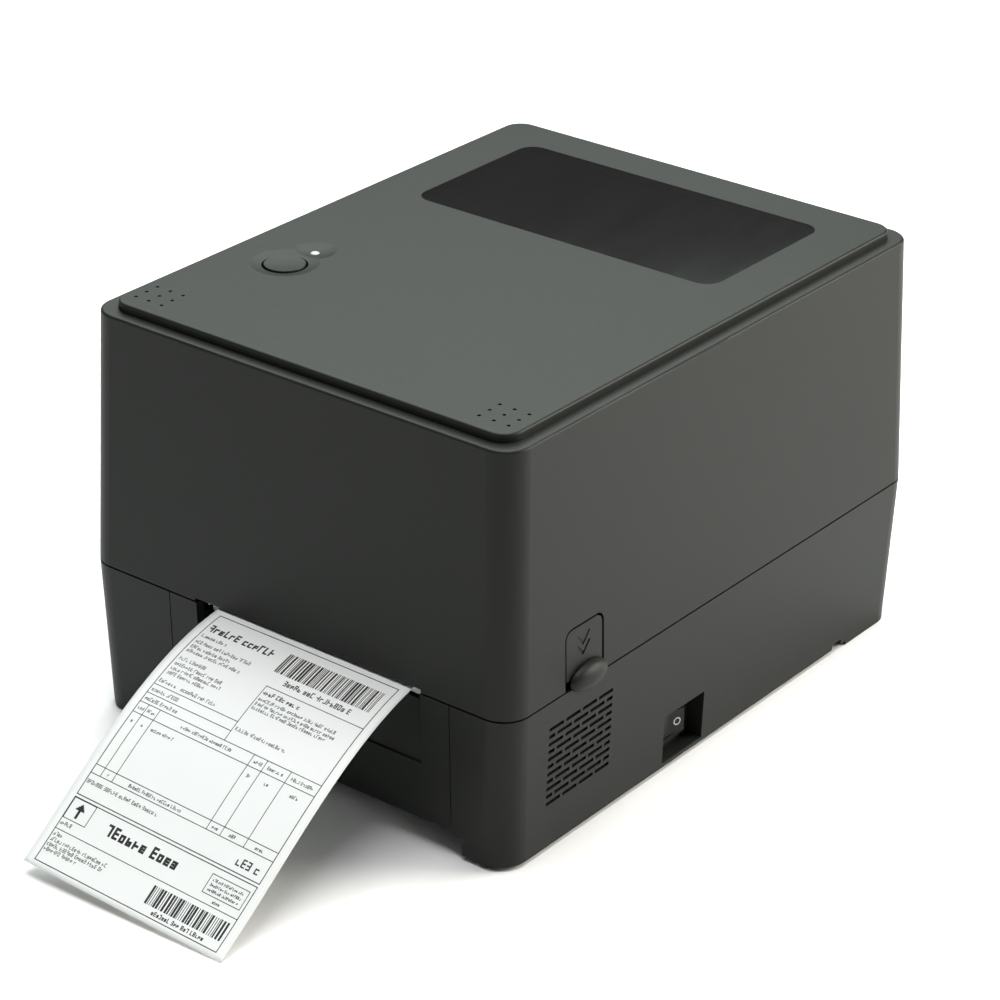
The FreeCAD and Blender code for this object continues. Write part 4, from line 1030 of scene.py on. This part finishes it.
class Print(Enum):
    """The sizes of type: the height of a letter and the width of its strokes, in millimetres."""

    STAMP = (1.2, 0.26)
    NOTE = (1.3, 0.26)
    TABLE = (1.5, 0.26)
    SMALL = (1.6, 0.26)
    BODY = (1.7, 0.26)
    FOOT = (1.9, 0.38)
    CAPTION = (2.1, 0.42)
    CODE = (2.6, 0.46)
    TOTAL = (3.6, 0.6)
    HEADING = (3.9, 0.8)
    TITLE = (5.0, 1.05)


@dataclass
class InkPage:
    """The ink on the label: rules, bars and lines of unreadable type, laid over the strip.

    Places on the page are in millimetres, across from its middle and down from the slot.

    Args:
        strip: The form that the ink follows.
        lift: How far the ink's top is over the paper.
        piece_length: The longest straight run before it follows the bend.
        seed: What the unreadable type is drawn from.
        hairline: The width of a rule.
        outline: The width of a frame's lines.
        wide: The width of a letter against its height.
        space: The space between letters, against their height.
        gap: The further space between words, against the letters' height.
        word: The fewest and the most letters of a word.
        drop: How much lower a short letter is, against its height.
        short: How often a letter is short.
        upright: How often its stem is on the left.
        closed: How often a stemmed letter is closed on the right.
        bars: The widths of a bar code's bars, in modules, each as likely.
        spaces: The widths of the spaces between them.
        arrow_steps: How many blocks an arrow's head has.
        arrow_step: How much each side of a block is wider than the last one's, and how much
            lower the block is.
        arrow_tip: The width of the first block.
        stroke: The height of a block, and half the width of the arrow's stem.
        neck: How far under the top of the last block the stem starts.
    """

    strip: Strip
    lift: float = 0.03 * MM
    piece_length: float = 4.0 * MM
    seed: int = 11
    hairline: float = 0.32
    outline: float = 0.4
    wide: float = 0.54
    space: float = 0.16
    gap: float = 0.42
    word: tuple[int, int] = (3, 8)
    drop: float = 0.32
    short: float = 0.55
    upright: float = 0.75
    closed: float = 0.4
    bars: Sequence[int] = (1, 1, 2, 3)
    spaces: Sequence[int] = (1, 1, 2, 2)
    arrow_steps: int = 5
    arrow_step: Span = (0.45, 0.55)
    arrow_tip: float = 0.8
    stroke: float = 0.6
    neck: float = 0.5

    def __post_init__(self) -> None:
        """Start with a blank page."""
        self.mesh = bmesh.new()
        self.random = random.Random(self.seed)

    def cuts(self, start: float, end: float) -> list[float]:
        """Places from start to end, in metres, that are no further apart than piece_length."""
        count = max(1, math.ceil((end - start) * MM / self.piece_length))
        return [(start + (end - start) * i / count) * MM for i in range(count + 1)]

    def block(self, left: float, right: float, top: float, bottom: float) -> None:
        """Ink a rectangle.

        Args:
            left: Its left edge.
            right: Its right edge.
            top: Its edge nearer the slot.
            bottom: Its far edge.
        """
        columns, rows = self.cuts(left, right), self.cuts(top, bottom)
        faces = [[[self.strip.printed(u, v, lift) for u in columns] for v in rows]
                 for lift in (self.lift, -self.lift)]
        closed_slab(self.mesh, *faces)

    def rule(self, level: float, left: float, right: float, weight: float | None = None) -> None:
        """A line across the label, as wide as a hairline unless it has a weight."""
        half = (weight or self.hairline) / 2
        self.block(left, right, level - half, level + half)

    def column(self, place: float, top: float, bottom: float, weight: float | None = None) -> None:
        """A line along the label, as wide as a hairline unless it has a weight."""
        half = (weight or self.hairline) / 2
        self.block(place - half, place + half, top, bottom)

    def frame(self, sides: Span, ends: Span, weight: float | None = None) -> None:
        """A rectangle's outline.

        Args:
            sides: Its left and right edges.
            ends: Its edge nearer the slot and its far edge.
            weight: The width of its lines, if not the usual outline's.
        """
        weight = weight or self.outline
        for level in ends:
            self.rule(level, sides[0] - weight / 2, sides[1] + weight / 2, weight)
        for place in sides:
            self.column(place, ends[0] + weight / 2, ends[1] - weight / 2, weight)

    def type(self, left: float, right: float, middle: float, size: Print = Print.BODY) -> None:
        """A line of unreadable type: words of letter-like strokes.

        Args:
            left: Where it starts.
            right: Where it ends.
            middle: The level of its middle.
            size: The size of the type.
        """
        tall, weight = size.value
        wide, place = tall * self.wide, left
        word = self.random.randint(*self.word)
        while place + wide <= right + 0.01:
            self.letter(place, middle, wide, tall, weight)
            place += wide + tall * self.space
            word -= 1
            if word == 0:
                place += tall * self.gap
                word = self.random.randint(*self.word)

    def lines(self, left: float, rows: Iterable[Span], size: Print = Print.BODY) -> None:
        """Lines of type with one left edge.

        Args:
            left: Where they start.
            rows: The level of each line's middle, and where it ends.
            size: The size of the type.
        """
        for level, end in rows:
            self.type(left, end, level, size)

    def letter(self, left: float, middle: float, wide: float, tall: float, weight: float) -> None:
        """One letter-like figure of an upright and one to three bars.

        Args:
            left: Its left edge.
            middle: The level of its middle.
            wide: Its width.
            tall: Its height.
            weight: The width of a stroke.
        """
        top, bottom = middle - tall / 2, middle + tall / 2
        head = top + tall * self.drop if self.random.random() < self.short else top
        stem = left if self.random.random() < self.upright else left + wide - weight
        self.block(stem, stem + weight, head, bottom)
        levels = self.random.sample([0, 1, 2], self.random.randint(1, 3))
        start, end = (left + weight, left + wide) if stem == left else (left, stem)
        for level in levels:
            place = head + (bottom - head - weight) * level / 2
            self.block(start, end, place, place + weight)
        if self.random.random() < self.closed and stem == left and len(levels) > 1:
            self.block(end - weight, end, head + weight, bottom - weight)

    def arrow(self, middle: float, tip: float, tail: float) -> None:
        """An arrow that points at the slot, with a stepped head.

        Args:
            middle: The line that it lies along.
            tip: The level of its tip.
            tail: The level of its other end.
        """
        widening, deepening = self.arrow_step
        for i in range(self.arrow_steps):
            half, top = self.arrow_tip / 2 + widening * i, tip + deepening * i
            self.block(middle - half, middle + half, top, top + self.stroke)
        self.block(middle - self.stroke, middle + self.stroke, top + self.neck, tail)

    def barcode(self, sides: Span, ends: Span, module: float = 0.34) -> None:
        """Bars of random widths.

        Args:
            sides: Where they start and end.
            ends: Their edge nearer the slot and their far edge.
            module: The width of the narrowest bar.
        """
        place, right = sides
        while place < right:
            bar = module * self.random.choice(self.bars)
            self.block(place, min(place + bar, right), *ends)
            place += bar + module * self.random.choice(self.spaces)


@dataclass
class LabelPaper:
    """The label roll on its core, the web to the roller, and the printed strip in the slot.

    The page's places are in millimetres, across from its middle and down from the slot.

    Args:
        palette: What makes the finishes.
        strip: The form of the strip.
        columns: How many faces the strip has across it.
        rows: How many it has along it outside the slot.
        inner_rows: How many it has between the roller and the slot.
        edge: How far the frames' sides are from the middle.
        upper: The ends of the upper frame.
        lower: The ends of the lower frame.
        divider: The line between the left and the right half of the addresses.
        addressed: The rule under the addresses, where the table of goods begins.
        goods: The ends of the table's rows: its header, its goods and its total.
        cells: The lines between the table's columns.
    """

    palette: Palette
    strip: Strip = field(default_factory=Strip)
    columns: int = 36
    rows: int = 72
    inner_rows: int = 8
    edge: float = 46.6
    upper: Span = (4.1, 99.8)
    lower: Span = (101.2, 130.2)
    divider: float = -2.6
    addressed: float = 55.2
    goods: Sequence[float] = (60.3, 86.0, 89.9)
    cells: Sequence[float] = (-41.8, -35.8, 13.0, 19.8, 31.7)

    def build(self) -> None:
        """Dress the roll and make the strip with its print."""
        roll = Wound("label_roll_paper", (0.80, 0.81, 0.79), 0.62, middle=middle_of("roll_core"),
                     line=(0.45, 0.44, 0.42))
        self.palette.dress(roll, "label_roll")
        self.palette.dress(Trim.CARD, "roll_core")
        self.palette.dress(Trim.PAPER, "label_web")
        paper = self.sheet()
        ink = plain_piece("label_print", self.page(), self.palette.material(Trim.INK))
        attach(ink, "base")
        log.info("label_sheet and label_print made")

    def sheet(self) -> bpy.types.Object:
        """The paper strip from the roller to its free end, as a thin closed sheet.

        Returns:
            The piece.
        """
        half = self.strip.width / 2
        places = [half * (2 * i / self.columns - 1) for i in range(self.columns + 1)]
        lower = [[self.strip.inside(u, j / self.inner_rows) for u in places]
                 for j in range(self.inner_rows)]
        lower += [[self.strip.outside(u, self.strip.length * j / self.rows) for u in places]
                  for j in range(self.rows + 1)]
        upper = [[point + Vector((0, 0, self.strip.thick)) for point in row] for row in lower]
        mesh = bmesh.new()
        closed_slab(mesh, upper, lower)
        piece = plain_piece("label_sheet", mesh, self.palette.material(Trim.PAPER))
        piece.data.shade_smooth()
        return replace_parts(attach(piece, "base"), "printed_label")

    def page(self) -> bmesh.types.BMesh:
        """The label's generic shipping form.

        Returns:
            The ink's shape.
        """
        page = InkPage(self.strip)
        for ends in (self.upper, self.lower):
            page.frame((-self.edge, self.edge), ends)
        self.addresses(page)
        self.goods_table(page)
        self.lower_form(page)
        return page.mesh

    def addresses(self, page: InkPage) -> None:
        """The heading, two address blocks, the upper bar code and the right-hand box.

        Args:
            page: What they are inked on.
        """
        page.type(-45, -11.0, 12.0, Print.HEADING)
        page.lines(-45, ((17, -31), (20.8, -16), (23.8, -24), (26.2, -17),
                         (31, -30), (34, -20), (36.5, -19), (39, -26)))
        page.type(-45.5, -36.5, 43.6)
        page.type(-34, -16, 43.6)
        page.lines(-45.5, ((48.4, -31.5), (53.0, -28.5)))
        page.barcode((-5, 43.5), (8.5, 19.5))
        page.type(3.0, 37.5, 22.6, Print.CODE)
        page.column(self.divider, 26.6, self.addressed)
        page.rule(26.9, self.divider, self.edge)
        page.type(-1.8, 18, 29.9, Print.CAPTION)
        page.lines(-1.5, ((33.3, 38), (35.7, 39.5), (37.8, 36.5), (48.8, 24.5)), Print.SMALL)

    def goods_table(self, page: InkPage) -> None:
        """The table of goods with its header, one row, its total and the signature line.

        Args:
            page: What it is inked on.
        """
        for level in (46.0, 50.6):
            page.rule(level, -self.edge, self.divider)
        for level in (self.addressed, *self.goods):
            page.rule(level, -self.edge, self.edge)
        for place in self.cells:
            page.column(place, self.addressed, self.goods[-1])
        header = ((-45.5, -42.6), (-40.8, -36.7), (-23, 3), (14.6, 18.6), (21.5, 30), (33.4, 45))
        row = ((-44.6, -43.4), (-39.2, -38.0), (-34, -22), (15.2, 17.8), (24.3, 27), (37, 41))
        total = ((-39.2, -38.0), (-28, 0), (14.8, 17.8), (23.5, 27), (36.5, 40.5))
        for words, level in ((header, 57.8), (row, 64.0), (total, 88.0)):
            for left, right in words:
                page.type(left, right, level, Print.TABLE)
        page.type(-46, -9, 93.4)
        page.type(32.5, 45, 95.5, Print.TOTAL)

    def lower_form(self, page: InkPage) -> None:
        """The lower frame: an arrow, a title, a stamp box, a text block and the lower bar code.

        Args:
            page: What it is inked on.
        """
        page.frame((-46.3, -35.0), (101.4, 110.5), page.hairline)
        page.arrow(-41.0, 102.9, 109.2)
        page.type(-46, -38.5, 112.6)
        page.type(-25.5, 13.5, 107.2, Print.TITLE)
        page.frame((26.5, 45.0), (104.0, 112.0), page.hairline)
        page.lines(28, ((106.0, 43.5), (108.1, 43.5), (110.2, 43.5)), Print.STAMP)
        page.type(33, 36.5, 113.8, Print.NOTE)
        page.rule(115.6, -self.edge, self.edge)
        page.lines(-45.8, ((117.6, -40.5), (120, -16), (122.3, -17), (124.5, -29)))
        page.barcode((7, 45), (118, 126))
        page.type(12.5, 39, 128.0, Print.FOOT)


# ----------------------------------------------------------------- inside


@dataclass
class PrintWorks:
    """The roller, its gears and motor, the print head, and the metalwork that carries them.

    Args:
        palette: What makes the finishes.
    """

    palette: Palette

    def build(self) -> None:
        """Dress the works and make their springs and screws."""
        self.palette.dress(Trim.TRAY, "media_tray")
        self.palette.dress(Trim.BLACK, "media_guide_left", "media_guide_right", "guide_pinion",
                           "idler_gear", "platen_gear", "platen_bushes")
        self.palette.dress(Trim.RUBBER, "platen_roller")
        self.palette.dress(Trim.SHAFT, "platen_shaft", "motor_pinion", "ribbon_pinion")
        self.palette.dress(Trim.STEEL, "platen_frame", "tear_bar", "motor_bracket", "head_bracket",
                           "head_crossbar", "ribbon_bridge", "ribbon_plate_left",
                           "ribbon_plate_right")
        self.palette.dress(Trim.MOTOR, "stepper_motor", "ribbon_motor")
        self.palette.dress(Trim.ALUMINIUM, "head_heatsink")
        self.palette.dress(Trim.CERAMIC, "thermal_head")
        for fasteners in (
            ScrewSet(self.palette, "chassis_screws", "base"),
            ScrewSet(self.palette, "frame_screws", "cover"),
            SpringSet(self.palette, "head_springs", "cover", "print_head", wire=0.35 * MM,
                      turns=7.0, count=2),
            SpringSet(self.palette, "latch_spring_left", "cover", "latch_left", wire=0.25 * MM,
                      turns=9.0),
            SpringSet(self.palette, "latch_spring_right", "cover", "latch_right", wire=0.25 * MM,
                      turns=9.0),
            SpringSet(self.palette, "feed_spring", "cover", "feed_button", wire=0.3 * MM,
                      turns=4.0, fixed_low=True),
        ):
            fasteners.build()


@dataclass
class RibbonDrive:
    """The two ribbon rolls, their spindles and the take-up gear.

    Args:
        palette: What makes the finishes.
        film: The colour of the inked film.
        seam: The colour between its layers.
        layer: The distance from one visible ring to the next.
    """

    palette: Palette
    film: Colour = (0.014, 0.014, 0.015)
    seam: Colour = (0.05, 0.05, 0.055)
    layer: float = 0.5 * MM

    def build(self) -> None:
        """Dress the rolls by their own axes, and the spindles."""
        for name in ("ribbon_supply_roll", "ribbon_takeup_roll"):
            film = Wound(f"{name}_film", self.film, 0.22, middle=middle_of(name),
                         layer=self.layer, line=self.seam)
            self.palette.dress(film, name)
        self.palette.dress(Trim.BLACK, "ribbon_supply_spindle", "ribbon_takeup_spindle",
                           "takeup_gear")


@dataclass
class Electronics:
    """The boards, the gap sensor and the rear sockets.

    Args:
        palette: What makes the finishes.
        contacts: How many contacts the network socket has.
        contact: The width, length and thickness of one contact.
        pitch: The distance from one contact to the next.
        lean: How steeply the contacts rise towards the opening.
        roof: How far the mouth's roof is below the top of the can.
        inset: How far the contacts' middle is inside the opening.
    """

    palette: Palette
    contacts: int = 8
    contact: Vector = field(default_factory=lambda: Vector((0.5, 7.0, 0.25)) * MM)
    pitch: float = 1.15 * MM
    lean: float = math.radians(20)
    roof: float = 3.3 * MM
    inset: float = 6.0 * MM

    def build(self) -> None:
        """Dress the boards and sockets, and lay the network socket's contacts."""
        self.palette.dress(Trim.BOARD, "main_board", "button_board", "media_sensor")
        self.palette.dress(Trim.BLACK, "dc_socket")
        self.palette.dress(Trim.STEEL, "usb_socket", "network_socket")
        high = Vector(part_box("network_socket")[1])
        half_row = self.pitch * (self.contacts - 1) / 2
        drop = self.contact.y / 2 * math.sin(self.lean)
        left = middle_of("network_socket").x - half_row
        first = Vector((left, high.y - self.inset, high.z - self.roof - drop))
        tree = GeometryTree("network_contacts_tree", {
            "Count": self.contacts, "Size": self.contact, "Lean": Vector((self.lean, 0, 0)),
            "First": first, "Pitch": Vector((self.pitch, 0, 0))})
        bar = tree.node("GeometryNodeMeshCube", {}, {"Size": "Size"})
        leant = tree.node("GeometryNodeTransform", {}, {"Geometry": bar, "Rotation": "Lean"})
        row = tree.node("GeometryNodeMeshLine", {"mode": "OFFSET", "count_mode": "TOTAL"},
                        {"Count": "Count", "Start Location": "First", "Offset": "Pitch"})
        bars = tree.node("GeometryNodeInstanceOnPoints", {}, {"Points": row, "Instance": leant})
        piece = tree.grow("network_contacts", bars, self.palette.material(Trim.GOLD))
        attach(piece, "base")
        log.info("network_contacts laid in network_socket")


# ----------------------------------------------------------------- studio


@dataclass
class SoftBox:
    """One large soft light.

    Args:
        title: Its name.
        place: Where it stands, in metres.
        aim: What it points at.
        size: Its width and height, in metres.
        power: Its power, in watts.
        tint: Its colour.
    """

    title: str
    place: Vector
    aim: Vector
    size: Span
    power: float
    tint: Colour = (1.0, 1.0, 1.0)

    def build(self) -> None:
        """Hang the light."""
        light = bpy.data.lights.new(self.title, "AREA")
        light.shape = "RECTANGLE"
        light.size, light.size_y = self.size
        light.energy = self.power
        light.color = self.tint
        lamp = bpy.data.objects.new(self.title, light)
        lamp.location = self.place
        lamp.rotation_euler = (self.aim - self.place).to_track_quat("-Z", "Y").to_euler()
        bpy.context.scene.collection.objects.link(lamp)
        log.info("%s hung", self.title)


@dataclass
class Studio:
    """The pale floor, the soft light and the camera.

    Args:
        azimuth: The camera's angle from the front towards the printer's right, in degrees.
        elevation: Its angle above the floor, in degrees.
        roll: How far it is tilted, in degrees.
        distance: From the camera to the plane of the model's middle, in metres.
        aside: How far it looks past the middle, to the right and upwards, in metres.
        lens: Its focal length, in millimetres on a 36 mm sensor.
        shift: The lens shift, across and up.
        floor_size: The floor's side, in metres.
        backdrop: How bright the room looks.
        ambient: How brightly it lights the printer.
    """

    azimuth: float = 37.81
    elevation: float = 26.50
    roll: float = 0.69
    distance: float = 1.4195
    aside: Span = (0.0304, 0.0093)
    lens: float = 123.8
    shift: Span = (-0.0014, -0.0119)
    floor_size: float = 40.0
    backdrop: float = 1.0
    ambient: float = 0.08

    def build(self) -> None:
        """Set the floor, the lights, the room and the camera."""
        low, high = (Vector(corner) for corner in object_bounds())
        middle = (low + high) / 2
        self.lay_floor()
        for box in (
            SoftBox("high_box", place=Vector((0.1, -0.10, 1.6)), aim=Vector((0, -0.10, 0.1)),
                    size=(1.0, 1.0), power=30),
            SoftBox("rear_box", place=Vector((-0.75, 0.75, 1.40)), aim=Vector((0, 0, 0.15)),
                    size=(1.4, 1.4), power=30, tint=(0.93, 1.0, 0.955)),
            SoftBox("right_box", place=Vector((1.3, 1.2, 0.8)), aim=Vector((0, 0, 0.12)),
                    size=(1.2, 1.0), power=48, tint=(1.0, 0.965, 0.88)),
        ):
            box.build()
        self.light_room()
        self.place_camera(middle)
        bpy.context.scene.view_settings.view_transform = "Standard"

    def lay_floor(self) -> None:
        """Lay the floor, which isn't part of the printer."""
        mesh = bmesh.new()
        bmesh.ops.create_grid(mesh, x_segments=1, y_segments=1, size=self.floor_size / 2)
        paint = FloorPaint("floor_paint", (0.86, 0.86, 0.86), 0.9).build()
        plain_piece("floor", mesh, paint)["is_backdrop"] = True

    def light_room(self) -> None:
        """A white backdrop that lights the printer only a little."""
        world = bpy.data.worlds.new("room")
        bpy.context.scene.world = world
        room = ShaderTree(world)
        path = room.node("ShaderNodeLightPath")
        seen = path.outputs["Is Camera Ray"]
        strength = room.node("ShaderNodeMapRange", {}, {
            "Value": seen, "To Min": self.ambient, "To Max": self.backdrop})
        back = room.node("ShaderNodeBackground", {}, {
            "Color": (1, 1, 1, 1), "Strength": strength.outputs[0]})
        room.node("ShaderNodeOutputWorld", {}, {"Surface": back.outputs[0]})

    def place_camera(self, middle: Vector) -> None:
        """Stand the camera.

        Args:
            middle: The middle of the model.
        """
        turn, rise, roll = (math.radians(a) for a in (self.azimuth, self.elevation, self.roll))
        forward = Vector((-math.sin(turn) * math.cos(rise), math.cos(turn) * math.cos(rise),
                          -math.sin(rise)))
        level = Vector((math.cos(turn), math.sin(turn), 0))
        upright = level.cross(forward)
        right = level * math.cos(roll) + upright * math.sin(roll)
        up = upright * math.cos(roll) - level * math.sin(roll)
        aim = middle + right * self.aside[0] + up * self.aside[1]
        camera = bpy.data.cameras.new("camera")
        camera.lens = self.lens
        camera.shift_x, camera.shift_y = self.shift
        stand = bpy.data.objects.new("camera", camera)
        turned = Matrix((right, up, -forward)).transposed().to_4x4()
        stand.matrix_world = Matrix.Translation(aim - forward * self.distance) @ turned
        bpy.context.scene.collection.objects.link(stand)
        bpy.context.scene.camera = stand
        log.info("camera placed")


def main() -> None:
    """Dress the model piece by piece, then set the studio."""
    logging.basicConfig(level=logging.INFO, format="%(message)s")
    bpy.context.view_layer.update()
    palette = Palette()
    for assembly in (Housing(palette), PowerSwitch(palette), LabelPaper(palette),
                     PrintWorks(palette), RibbonDrive(palette), Electronics(palette), Studio()):
        assembly.build()
        log.info("%s done", type(assembly).__name__)


if __name__ == "__main__":
    main()
